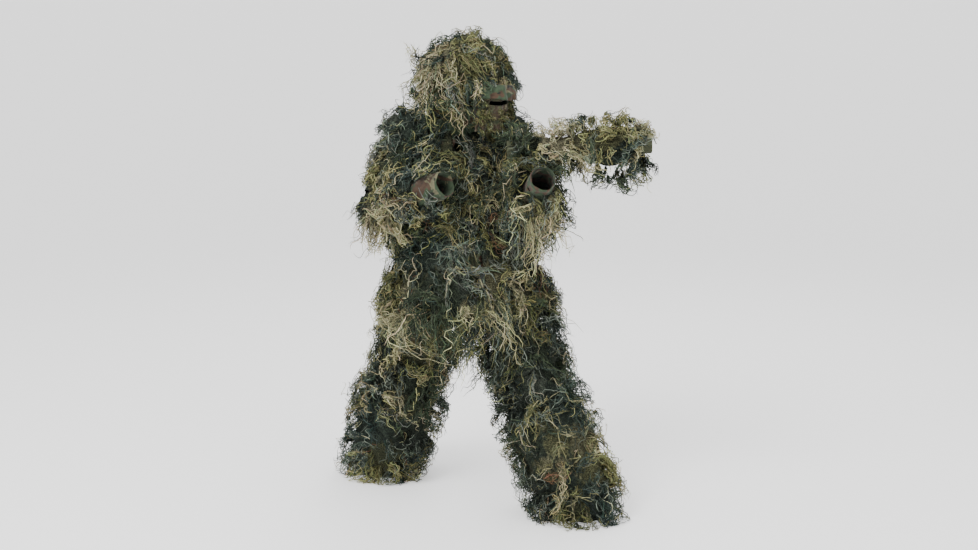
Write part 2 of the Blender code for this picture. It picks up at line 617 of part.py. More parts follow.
def make_hood(torso, keepouts):
    """Hood cloth, its threads, the brim and the veil that hangs from the brim."""
    sideways = Vector((math.cos(HEAD_YAW), math.sin(HEAD_YAW), 0.0))
    forward = Vector((math.sin(HEAD_YAW), -math.cos(HEAD_YAW), 0.0))
    turn = basis(sideways, -forward)
    hood = pivot("hood_joint", NAPE, torso)
    top = HOOD_MIDDLE + UP * HOOD_TOP
    cloth = add_piece("hood", dome(hood_rows(HOOD, 0.0), top,
                                   hood_rows(HOOD, -CLOTH), top - UP * CLOTH), hood, WOODLAND)
    thread_top = HOOD_MIDDLE + UP * HOOD_THREAD_TOP
    thread_stations = list(HOOD[1:])
    outer = hood_rows(thread_stations, "threads")
    outer = [[p + UP * rise for p in row] for row, rise in zip(outer, HOOD_LIFT)]
    threads = add_piece("hood_threads", dome(outer, thread_top, hood_rows(thread_stations, GAP),
                                             top + UP * 2 * GAP), hood, OLIVE_THREAD)
    face_tall = FACE_HIGH - FACE_LOW
    face_middle = HOOD_MIDDLE + forward * FACE_REACH + UP * ((FACE_LOW + FACE_HIGH) / 2)
    face = add_cutter("face_opening",
                      block(face_middle, (FACE_WIDTH, FACE_DEPTH, face_tall), turn), hood)
    wide_face = add_cutter("face_clearance",
                           block(face_middle - UP * 0.01,
                                 (FACE_WIDTH + 0.05, FACE_DEPTH + 0.02, face_tall + 0.03), turn),
                           hood)
    trim(cloth, (face, *keepouts))
    trim(threads, (wide_face, *keepouts))

    brim_height = FACE_HIGH + 0.004
    front_wide, front_deep = HOOD[2][1:3]

    def arc_row(reach, height, degrees=BRIM_ARC):
        angles = [math.radians(a) for a in degrees]
        return ellipse(HOOD_MIDDLE + UP * height, UP, sideways, front_wide + reach * 0.35,
                       front_deep + reach, angles)

    brim_rows = [[arc_row(BRIM_REACH, z), arc_row(0.001, z + 0.006)]
                 for z in (brim_height, brim_height + BRIM_THICK)]
    brim = add_piece("hood_brim", wall(brim_rows[1], brim_rows[0], wrap=False), hood, RED_BROWN)
    trim(brim, (add_cutter("brim_seat", plug(hood_rows(HOOD, GAP)), hood),))
    clear_rows = [[arc_row(BRIM_REACH + BRIM_ROOM, brim_height + rise, BRIM_ROOM_ARC),
                   arc_row(-0.008, brim_height + rise, BRIM_ROOM_ARC)]
                  for rise in (0.016, -BRIM_ROOM)]
    trim(threads, (add_cutter("brim_clearance", wall(*clear_rows, wrap=False), hood),))

    veil_hinge = HOOD_MIDDLE + forward * (front_deep + BRIM_REACH + 0.006) + UP * brim_height
    veil = pivot("veil_joint", veil_hinge, hood)
    bow = [math.radians(a) for a in VEIL_ARC]
    bow_r = VEIL_WIDTH / 2 / math.sin(VEIL_HALF_ARC)
    bow_middle = veil_hinge - forward * bow_r
    heights = (-0.002, -VEIL_DROP / 2, -VEIL_DROP)
    grids = [[ellipse(bow_middle + UP * z, UP, sideways, r, r, bow) for z in heights]
             for r in (bow_r, bow_r - VEIL_THICK)]
    cloth = add_piece("face_veil", wall(*grids, wrap=False), veil, RED_BROWN)
    slot_middle = veil_hinge - UP * (VEIL_DROP * SLOT_DROP) - forward * 0.004
    trim(cloth, (add_cutter("eye_slot", block(slot_middle, SLOT_SIZE, turn), veil),))
    for side, sign in (("right", -1), ("left", 1)):
        spot = veil_hinge - forward * 0.0205 + sideways * (sign * SNAP_SPREAD) - UP * 0.0028
        add_piece(f"veil_snap_{side}", rod(spot - UP * SNAP_THICK, spot, SNAP_R), hood,
                  BLACK_METAL, 0.4, 0.8)


# ---- wrap ----
def make_wrap(torso):
    """A sleeve for a long tool with threads around it and an elastic band at each end."""
    wrap = pivot("wrap_slide_joint", WRAP_REAR, torso)
    shares = even(7)
    add_piece("wrap_sleeve",
              limb_wall(WRAP_REAR, WRAP_FRONT, shares, (WRAP_R,) * len(shares),
                        (WRAP_R - WRAP_CLOTH,) * len(shares)), wrap, WOODLAND)
    add_piece("wrap_threads",
              limb_wall(WRAP_REAR, WRAP_FRONT, WRAP_STATIONS, WRAP_THREAD_R,
                        (WRAP_R + GAP,) * len(WRAP_STATIONS)), wrap, MOSS_THREAD)
    for side, low, high in WRAP_BANDS:
        add_piece(f"wrap_band_{side}",
                  limb_wall(WRAP_REAR, WRAP_FRONT, (low, high), (WRAP_R + WRAP_CLOTH,) * 2,
                            (WRAP_R + GAP,) * 2), wrap, WEBBING)


def main():
    """Build the suit."""
    clear_scene()
    torso = pivot("suit", YOKE)
    right, right_room = make_arm("right", RIGHT_SHOULDER, RIGHT_ELBOW, RIGHT_WRIST, torso,
                                 (FOREST_THREAD, DARK_THREAD, OLIVE_THREAD, DARK_THREAD))
    left, left_room = make_arm("left", LEFT_SHOULDER, LEFT_ELBOW, LEFT_WRIST, torso,
                               (DARK_THREAD, OLIVE_THREAD, FOREST_THREAD, MOSS_THREAD))
    make_jacket(torso, right + left, right_room + left_room)
    make_zip(torso)
    sockets = make_seat(torso)
    make_leg("right", RIGHT_HIP, RIGHT_KNEE, RIGHT_ANKLE, torso, sockets,
             (OLIVE_THREAD, DARK_THREAD, FOREST_THREAD))
    make_leg("left", LEFT_HIP, LEFT_KNEE, LEFT_ANKLE, torso, sockets,
             (DARK_THREAD, FOREST_THREAD, OLIVE_THREAD))
    make_hood(torso, (right[0], left[0]))
    make_wrap(torso)


main()
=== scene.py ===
"""The looks of the ghillie suit: camouflage cloth, the threads tied all over it, and the metalwork.

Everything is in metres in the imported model's frame: +X to the wearer's left, +Y to the back, +Z up,
with the origin between the shoulders.
"""
import math

import bmesh
import bpy
import numpy as np
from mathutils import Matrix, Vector
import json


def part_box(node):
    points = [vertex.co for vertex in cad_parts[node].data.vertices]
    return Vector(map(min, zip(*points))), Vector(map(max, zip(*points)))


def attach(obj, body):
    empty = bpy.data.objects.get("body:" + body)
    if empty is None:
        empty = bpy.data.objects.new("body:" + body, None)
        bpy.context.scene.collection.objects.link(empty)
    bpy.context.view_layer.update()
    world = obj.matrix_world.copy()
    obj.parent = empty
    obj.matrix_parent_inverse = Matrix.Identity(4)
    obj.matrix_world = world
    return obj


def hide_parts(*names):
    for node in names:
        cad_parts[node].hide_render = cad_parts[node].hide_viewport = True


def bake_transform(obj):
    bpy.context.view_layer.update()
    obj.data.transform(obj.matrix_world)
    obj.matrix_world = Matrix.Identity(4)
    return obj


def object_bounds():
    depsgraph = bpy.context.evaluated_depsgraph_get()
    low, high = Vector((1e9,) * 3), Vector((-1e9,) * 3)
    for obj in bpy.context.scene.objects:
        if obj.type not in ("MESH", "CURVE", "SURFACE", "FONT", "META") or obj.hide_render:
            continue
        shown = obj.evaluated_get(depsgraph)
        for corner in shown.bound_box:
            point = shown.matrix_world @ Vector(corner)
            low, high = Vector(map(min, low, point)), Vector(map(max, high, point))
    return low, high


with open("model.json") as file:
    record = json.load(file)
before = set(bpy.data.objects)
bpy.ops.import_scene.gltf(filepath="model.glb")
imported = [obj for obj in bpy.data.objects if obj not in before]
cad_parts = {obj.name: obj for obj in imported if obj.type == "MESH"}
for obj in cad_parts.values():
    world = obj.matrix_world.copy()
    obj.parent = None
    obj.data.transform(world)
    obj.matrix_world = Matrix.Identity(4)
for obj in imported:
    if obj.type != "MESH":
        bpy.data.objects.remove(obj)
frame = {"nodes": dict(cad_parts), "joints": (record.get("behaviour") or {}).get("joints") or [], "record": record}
CAD_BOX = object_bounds()

JOINTS = {joint["name"]: joint for joint in frame["joints"]}
BODY_OF = {}
for owner, members in frame["record"]["behaviour"]["bodies"].items():
    for member in members:
        BODY_OF[member] = owner

GROUND = CAD_BOX[0].z
EYE_HEIGHT = 1.55           # of the camera, above the ground
ROW_SHIFT = 0.08            # from the patch tables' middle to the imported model's origin
HOOD_MIDDLE = (0.045, -0.015)
VEIL_HALF_WIDTH = 0.077
TUFT_LENGTH = 0.21
MAT_DEPTH, THIN_MAT_DEPTH = 0.46, 0.34  # share of a cover's depth that its mat fills
TORSO_YAW = math.radians(12)
HEAD_YAW = math.radians(38)

# Heights above the ground, half width, half depth of the jacket and of the hood
JACKET = ((0.74, 0.295, 0.260), (0.90, 0.238, 0.188), (1.10, 0.212, 0.160), (1.25, 0.212, 0.150),
          (1.34, 0.195, 0.128), (1.41, 0.110, 0.098), (1.47, 0.080, 0.080))
HOOD = ((1.438, 0.122, 0.130), (1.540, 0.134, 0.146), (1.620, 0.126, 0.138),
        (1.672, 0.092, 0.102), (1.698, 0.046, 0.052), (1.708, 0.012, 0.014))

# Thread colours, linear
BLACK_GREEN = (0.019, 0.024, 0.020)
BLUE_GREEN = (0.034, 0.050, 0.044)
FOREST = (0.047, 0.062, 0.040)
GREY_GREEN = (0.135, 0.155, 0.130)
OLIVE = (0.118, 0.120, 0.056)
MOSS = (0.225, 0.220, 0.105)
KHAKI = (0.310, 0.290, 0.170)
TAN = (0.460, 0.420, 0.280)
RUST = (0.110, 0.062, 0.040)


def placed(name, data):
    """A new object in the scene."""
    item = bpy.data.objects.new(name, data)
    bpy.context.scene.collection.objects.link(item)
    return item


# ---------------------------------------------------------------- camera, light and floor
def make_stage():
    """A pale round floor that curves up into a wall, soft lights, and the camera."""
    for old in list(bpy.data.lights):
        bpy.data.lights.remove(old)
    camera = placed("camera", bpy.data.cameras.new("camera"))
    camera.data.sensor_width = 36.0
    camera.data.lens = 46.1
    camera.location = (0.132, -4.60, GROUND + EYE_HEIGHT)
    camera.rotation_euler = (math.radians(90 - 8.58), 0.0, 0.0)
    bpy.context.scene.camera = camera

    shape = bmesh.new()
    radius, top, bend = 14.0, 9.0, 6.0
    profile = [(3.0, 0.0), (radius - bend, 0.0)]
    profile += [
        (radius - bend + bend * math.sin(a), bend - bend * math.cos(a))
        for a in [math.radians(d) for d in range(5, 91, 5)]
    ]
    profile.append((radius, top))
    turns = [math.radians(d) for d in range(0, 360, 4)]
    rings = [[shape.verts.new((r * math.cos(a), r * math.sin(a), GROUND + z)) for a in turns]
             for r, z in profile]
    shape.faces.new(rings[0])
    for low, high in zip(rings, rings[1:]):
        for i in range(len(turns)):
            j = (i + 1) % len(turns)
            shape.faces.new((low[i], high[i], high[j], low[j]))
    mesh = bpy.data.meshes.new("floor")
    shape.to_mesh(mesh)
    shape.free()
    mesh.shade_smooth()
    floor = placed("floor", mesh)
    paper = bpy.data.materials.new("paper")
    paper.use_nodes = True
    surface = paper.node_tree.nodes["Principled BSDF"].inputs
    surface["Base Color"].default_value = (0.93, 0.93, 0.93, 1.0)
    surface["Roughness"].default_value = 0.9
    surface["Emission Color"].default_value = (1, 1, 1, 1)
    surface["Emission Strength"].default_value = 0.40
    mesh.materials.append(paper)

    world = bpy.data.worlds.new("world")
    world.use_nodes = True
    world.node_tree.nodes["Background"].inputs["Color"].default_value = (1.0, 1.0, 1.0, 1.0)
    world.node_tree.nodes["Background"].inputs["Strength"].default_value = 1.0
    bpy.context.scene.world = world
    lights = (
        ("key", (-2.2, -3.6, 3.4), 2.2, 310.0),
        ("fill", (3.2, -3.2, 1.6), 3.0, 60.0),
        ("rim", (1.0, 3.4, 3.4), 2.5, 90.0),
    )
    for name, place, size, power in lights:
        lamp = bpy.data.lights.new(name, "AREA")
        lamp.size = size
        lamp.energy = power
        item = placed(name, lamp)
        item.location = place
        aim = Vector((0.0, 0.0, -0.6)) - item.location
        item.rotation_euler = aim.to_track_quat("-Z", "Y").to_euler()


# ---------------------------------------------------------------- materials
class Nodes:
    """A small helper that adds shader nodes and links them."""

    def __init__(self, name, roughness=0.9):
        self.material = bpy.data.materials.new(name)
        self.material.use_nodes = True
        self.tree = self.material.node_tree
        self.surface = self.tree.nodes["Principled BSDF"]
        self.surface.inputs["Roughness"].default_value = roughness
        self.surface.inputs["Specular IOR Level"].default_value = 0.25

    def add(self, kind, inputs=None, **settings):
        node = self.tree.nodes.new(kind)
        for key, value in settings.items():
            setattr(node, key, value)
        for key, value in (inputs or {}).items():
            if isinstance(value, bpy.types.NodeSocket):
                self.tree.links.new(value, node.inputs[key])
            else:
                node.inputs[key].default_value = value
        return node

    def link(self, socket, name):
        self.tree.links.new(socket, self.surface.inputs[name])

    def place(self):
        return self.add("ShaderNodeTexCoord").outputs["Object"]

    def noise(self, scale, detail=3.0, roughness=0.55, distortion=0.0):
        node = self.add("ShaderNodeTexNoise", {
            "Vector": self.place(), "Scale": scale, "Detail": detail,
            "Roughness": roughness, "Distortion": distortion})
        return node.outputs["Fac"]

    def ramp(self, factor, stops):
        node = self.add("ShaderNodeValToRGB", {"Fac": factor})
        while len(node.color_ramp.elements) < len(stops):
            node.color_ramp.elements.new(0.5)
        for element, (position, colour) in zip(node.color_ramp.elements, stops):
            element.position = position
            element.color = (*colour, 1.0)
        return node.outputs["Color"]

    def mix(self, factor, first, second, blend="MIX"):
        node = self.add("ShaderNodeMix", data_type="RGBA", blend_type=blend)
        for key, value in (("Factor", factor), ("A", first), ("B", second)):
            socket = [s for s in node.inputs if s.name == key and s.enabled][0]
            if isinstance(value, bpy.types.NodeSocket):
                self.tree.links.new(value, socket)
            else:
                socket.default_value = value
        return [s for s in node.outputs if s.enabled][0]

    def bump(self, height, strength, distance):
        node = self.add("ShaderNodeBump", {
            "Height": height, "Strength": strength, "Distance": distance})
        self.link(node.outputs["Normal"], "Normal")


BLACK = (0.0, 0.0, 0.0)
WHITE = (1.0, 1.0, 1.0)


def weave_height(nodes, pitch):
    """The over and under of a plain weave with the given thread pitch."""
    where = nodes.place()
    across = nodes.add("ShaderNodeTexWave", {"Vector": where, "Scale": 0.31 / pitch,
                                             "Distortion": 0.6, "Detail": 1.0},
                       bands_direction="X").outputs["Fac"]
    along = nodes.add("ShaderNodeTexWave", {"Vector": where, "Scale": 0.31 / pitch,
                                            "Distortion": 0.6, "Detail": 1.0},
                      bands_direction="Z").outputs["Fac"]
    return nodes.add("ShaderNodeMath", {0: across, 1: along}, operation="MULTIPLY").outputs[0]


def woodland_cloth():
    """Printed cloth: blotches of green, brown and sand under dark branches, on a plain weave."""
    nodes = Nodes("woodland_cloth", 0.88)
    green, brown, sand, dark = ((0.045, 0.072, 0.038), (0.078, 0.046, 0.029),
                                (0.165, 0.155, 0.090), (0.014, 0.018, 0.014))
    brown_mask = nodes.ramp(nodes.noise(13.0, 2.5, distortion=0.6),
                            ((0.50, BLACK), (0.515, WHITE)))
    sand_mask = nodes.ramp(nodes.noise(17.0, 2.0, distortion=0.8, roughness=0.6),
                           ((0.585, BLACK), (0.60, WHITE)))
    dark_mask = nodes.ramp(nodes.noise(21.0, 2.5, distortion=1.4, roughness=0.62),
                           ((0.60, BLACK), (0.615, WHITE)))
    colour = nodes.mix(brown_mask, (*green, 1.0), (*brown, 1.0))
    colour = nodes.mix(sand_mask, colour, (*sand, 1.0))
    colour = nodes.mix(dark_mask, colour, (*dark, 1.0))
    fade = nodes.ramp(nodes.noise(55.0, 4.0), ((0.30, (0.46, 0.46, 0.46)),
                                               (0.75, (0.86, 0.86, 0.80))))
    colour = nodes.mix(1.0, colour, fade, "MULTIPLY")
    nodes.link(colour, "Base Color")
    weave = weave_height(nodes, 0.0016)
    nodes.bump(weave, 0.35, 0.0006)
    nodes.surface.inputs["Sheen Weight"].default_value = 0.06
    nodes.surface.inputs["Sheen Roughness"].default_value = 0.6
    return nodes.material


def brown_cloth():
    """The brown cloth of the brim and veil, with green patches where the print crosses it."""
    nodes = Nodes("brown_cloth", 0.9)
    colour = nodes.ramp(nodes.noise(19.0, 3.0, distortion=0.8), (
        (0.36, (0.024, 0.034, 0.020)), (0.44, (0.062, 0.064, 0.036)), (0.50, (0.048, 0.036, 0.024)),
        (0.58, (0.060, 0.042, 0.028)), (0.64, (0.130, 0.122, 0.076))))
    netting = nodes.ramp(nodes.noise(120.0, 4.0, distortion=1.6, roughness=0.6),
                         ((0.40, (0.50, 0.50, 0.48)), (0.52, WHITE), (0.62, (1.7, 1.7, 1.6))))
    nodes.link(nodes.mix(1.0, colour, netting, "MULTIPLY"), "Base Color")
    nodes.bump(weave_height(nodes, 0.0014), 0.4, 0.0006)
    nodes.surface.inputs["Sheen Weight"].default_value = 0.12
    return nodes.material


def webbing():
    """Ribbed elastic and tape."""
    nodes = Nodes("webbing", 0.85)
    rib = nodes.add("ShaderNodeTexWave", {"Vector": nodes.place(), "Scale": 120.0,
                                          "Distortion": 0.4}, bands_direction="Z").outputs["Fac"]
    colour = nodes.ramp(rib, ((0.2, (0.030, 0.034, 0.018)), (0.8, (0.070, 0.076, 0.042))))
    shade = nodes.ramp(nodes.noise(70.0, 3.0), ((0.3, (0.75, 0.75, 0.75)), (0.7, (1.2, 1.2, 1.15))))
    nodes.link(nodes.mix(1.0, colour, shade, "MULTIPLY"), "Base Color")
    nodes.bump(rib, 0.5, 0.0008)
    return nodes.material


def zip_teeth():
    """Moulded coil: fine ridges across the strip."""
    nodes = Nodes("zip_teeth", 0.5)
    ridge = nodes.add("ShaderNodeTexWave", {"Vector": nodes.place(), "Scale": 160.0},
                      bands_direction="Z").outputs["Fac"]
    colour = nodes.ramp(ridge, ((0.1, (0.012, 0.012, 0.008)), (0.9, (0.060, 0.064, 0.038))))
    nodes.link(colour, "Base Color")
    nodes.bump(ridge, 0.8, 0.001)
    return nodes.material


def dark_metal():
    """Blackened metal, rubbed brighter in places."""
    nodes = Nodes("dark_metal", 0.4)
    wear = nodes.noise(160.0, 5.0)
    colour = nodes.ramp(wear, ((0.35, (0.012, 0.012, 0.012)), (0.62, (0.030, 0.029, 0.027)),
                               (0.72, (0.180, 0.165, 0.140))))
    nodes.link(colour, "Base Color")
    shine = nodes.ramp(wear, ((0.35, (0.50, 0.50, 0.50)), (0.72, (0.28, 0.28, 0.28))))
    nodes.link(shine, "Roughness")
    nodes.surface.inputs["Metallic"].default_value = 0.85
    nodes.bump(wear, 0.15, 0.0004)
    return nodes.material


def mat_material():
    """The mat under the loose threads: tangled short fibres over dark netting, in a near-black tint that is
    painted shade of the deep tangle.
    """
    nodes = Nodes("matted_threads_painted_shade", 0.97)
    tint = nodes.add("ShaderNodeAttribute", attribute_name="tint").outputs["Color"]
    tangle = nodes.noise(150.0, 4.0, roughness=0.65, distortion=2.4)
    light = nodes.ramp(tangle, ((0.38, (0.25, 0.25, 0.25)), (0.50, (0.9, 0.9, 0.9)),
                                (0.60, (3.2, 3.1, 2.7))))
    nodes.link(nodes.mix(1.0, tint, light, "MULTIPLY"), "Base Color")
    nodes.bump(tangle, 0.9, 0.004)
    nodes.surface.inputs["Specular IOR Level"].default_value = 0.08
    return nodes.material


def thread_material():
    """Loose yarn: each thread's own tint, mottled along its length, with a finely bumped surface."""
    nodes = Nodes("threads", 0.95)
    # the tint carries painted shade towards each thread's root and a little lighter colour towards its tip
    tint = nodes.add("ShaderNodeAttribute", attribute_name="tint").outputs["Color"]
    mottle = nodes.ramp(nodes.noise(95.0, 2.0), ((0.28, (0.62, 0.64, 0.62)),
                                                 (0.70, (1.28, 1.26, 1.2))))
    fine = nodes.noise(900.0, 2.0)
    colour = nodes.mix(1.0, tint, mottle, "MULTIPLY")
    nodes.link(colour, "Base Color")
    nodes.bump(fine, 0.5, 0.0006)
    nodes.surface.inputs["Specular IOR Level"].default_value = 0.12
    return nodes.material


# ---------------------------------------------------------------- shapes that the threads lie on
def joint_at(name):
    """A hinge's place at rest."""
    return np.array(JOINTS[name]["pos_m"])


def middle_of(node):
    """The middle of a CAD node's box."""
    low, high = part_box(node)
    return np.array((low + high) / 2)


def lengths_of(vectors):
    """Row lengths, never quite zero."""
    return np.maximum(np.linalg.norm(vectors, axis=-1, keepdims=True), 1e-9)


class Limb:
    """A round tapering length of the suit."""

    def __init__(self, start, end, radii, shares=None):
        self.start, self.end = np.array(start), np.array(end)
        self.axis = self.end - self.start
        self.radii = np.array(radii)
        self.shares = np.array(shares or np.linspace(0.0, 1.0, len(radii)))

    def radius(self, share):
        return np.interp(share, self.shares, self.radii)

    def nearest(self, points):
        share = np.clip((points - self.start) @ self.axis / (self.axis @ self.axis), 0.0, 1.0)
        foot = self.start + share[:, None] * self.axis
        away = points - foot
        distance = lengths_of(away)
        return distance[:, 0] - self.radius(share), away / distance

    def scatter(self, rng, count, low=0.0, high=1.0):
        share = rng.uniform(low, high, count)
        guide = rng.normal(size=(count, 3))
        unit = self.axis / np.linalg.norm(self.axis)
        outward = guide - (guide @ unit)[:, None] * unit
        outward /= lengths_of(outward)
        foot = self.start + share[:, None] * self.axis
        return foot + outward * self.radius(share)[:, None], outward

    def area(self, low=0.0, high=1.0):
        return 2 * math.pi * self.radii.mean() * np.linalg.norm(self.axis) * (high - low)


class Barrel:
    """An upright part of the suit with an elliptical section at each height."""

    def __init__(self, levels, middles, yaw):
        table = np.array(levels)
        self.z = table[:, 0] + GROUND
        self.wide, self.deep = table[:, 1], table[:, 2]
        self.middles = np.array(middles)
        self.side = np.array([math.cos(yaw), math.sin(yaw)])
        self.back = np.array([-math.sin(yaw), math.cos(yaw)])

    def section(self, z):
        centre = np.stack([np.interp(z, self.z, self.middles[:, i]) for i in range(2)], axis=-1)
        return centre, np.interp(z, self.z, self.wide), np.interp(z, self.z, self.deep)

    def nearest(self, points):
        z = points[:, 2]
        centre, wide, deep = self.section(z)
        flat = points[:, :2] - centre
        across, along = flat @ self.side, flat @ self.back
        level = np.sqrt((across / wide) ** 2 + (along / deep) ** 2) + 1e-9
        reach = np.hypot(across, along)
        distance = reach * (1.0 - 1.0 / level)
        beyond = np.maximum(np.maximum(self.z[0] - z, z - self.z[-1]), 0.0)
        outward = np.zeros_like(points)
        outward[:, :2] = flat / np.maximum(reach, 1e-6)[:, None]
        outward[:, 2] = np.where(z > self.z[-1], 1.0, 0.0)
        outward /= lengths_of(outward)
        return np.where(beyond > 0.0, np.maximum(distance, beyond), distance), outward

    def scatter(self, rng, count, low, high, start=0.0, stop=2 * math.pi):
        z = rng.uniform(low, high, count) + GROUND
        angle = rng.uniform(start, stop, count)
        centre, wide, deep = self.section(z)
        across, along = np.cos(angle) * wide, np.sin(angle) * deep
        flat = centre + across[:, None] * self.side + along[:, None] * self.back
        points = np.column_stack([flat, z])
        step = 0.01
        _, wide_up, deep_up = self.section(z + step)
        slope = ((wide + deep) - (wide_up + deep_up)) / (2 * step)
        normal = (np.cos(angle) * deep)[:, None] * self.side
        normal = normal + (np.sin(angle) * wide)[:, None] * self.back
        normal /= lengths_of(normal)
        normal = np.column_stack([normal, np.clip(slope, -0.5, 3.0)])
        return points, normal / lengths_of(normal)

    def area(self, low, high, share=1.0):
        levels = np.linspace(low, high, 9) + GROUND
        _, wide, deep = self.section(levels)
        return 2 * math.pi * np.sqrt((wide ** 2 + deep ** 2) / 2).mean() * (high - low) * share


def front_middles(levels):
    """Where the jacket is centred at each height: a straight front, falling back above."""
    low, high = np.array([0.106, -0.246, 0.74]), np.array([0.038, -0.148, 1.25])
    middles = []
    for z, _, deep in levels:
        share = (z - low[2]) / (high[2] - low[2])
        x, y = low[:2] + (high[:2] - low[:2]) * share
        y += max(0.0, z - high[2]) * 0.35
        middles.append((x - deep * math.sin(TORSO_YAW), y + deep * math.cos(TORSO_YAW)))
    return middles


def make_shapes():
    """The suit's cloth surfaces, which threads start on and stay outside of."""
    shapes = {}
    shapes["jacket"] = Barrel(JACKET, front_middles(JACKET), TORSO_YAW)
    shapes["hood"] = Barrel(HOOD, [HOOD_MIDDLE] * len(HOOD), HEAD_YAW)
    for side in ("right", "left"):
        shoulder, elbow = joint_at(f"{side}_shoulder"), joint_at(f"{side}_elbow")
        hip, knee = joint_at(f"{side}_hip"), joint_at(f"{side}_knee")
        wrist, ankle = middle_of(f"{side}_cuff"), middle_of(f"{side}_hem_band")
        shapes[f"{side}_upper_sleeve"] = Limb(shoulder, elbow, (0.078, 0.072, 0.068))
        shapes[f"{side}_forearm"] = Limb(elbow, wrist, (0.066, 0.060, 0.048))
        shapes[f"{side}_thigh"] = Limb(hip, knee, (0.110, 0.104, 0.096))
        shapes[f"{side}_shin"] = Limb(knee, ankle, (0.096, 0.100, 0.094))
    shapes["wrap"] = Limb(middle_of("wrap_band_rear"), middle_of("wrap_band_front"), (0.030, 0.030))
    return shapes


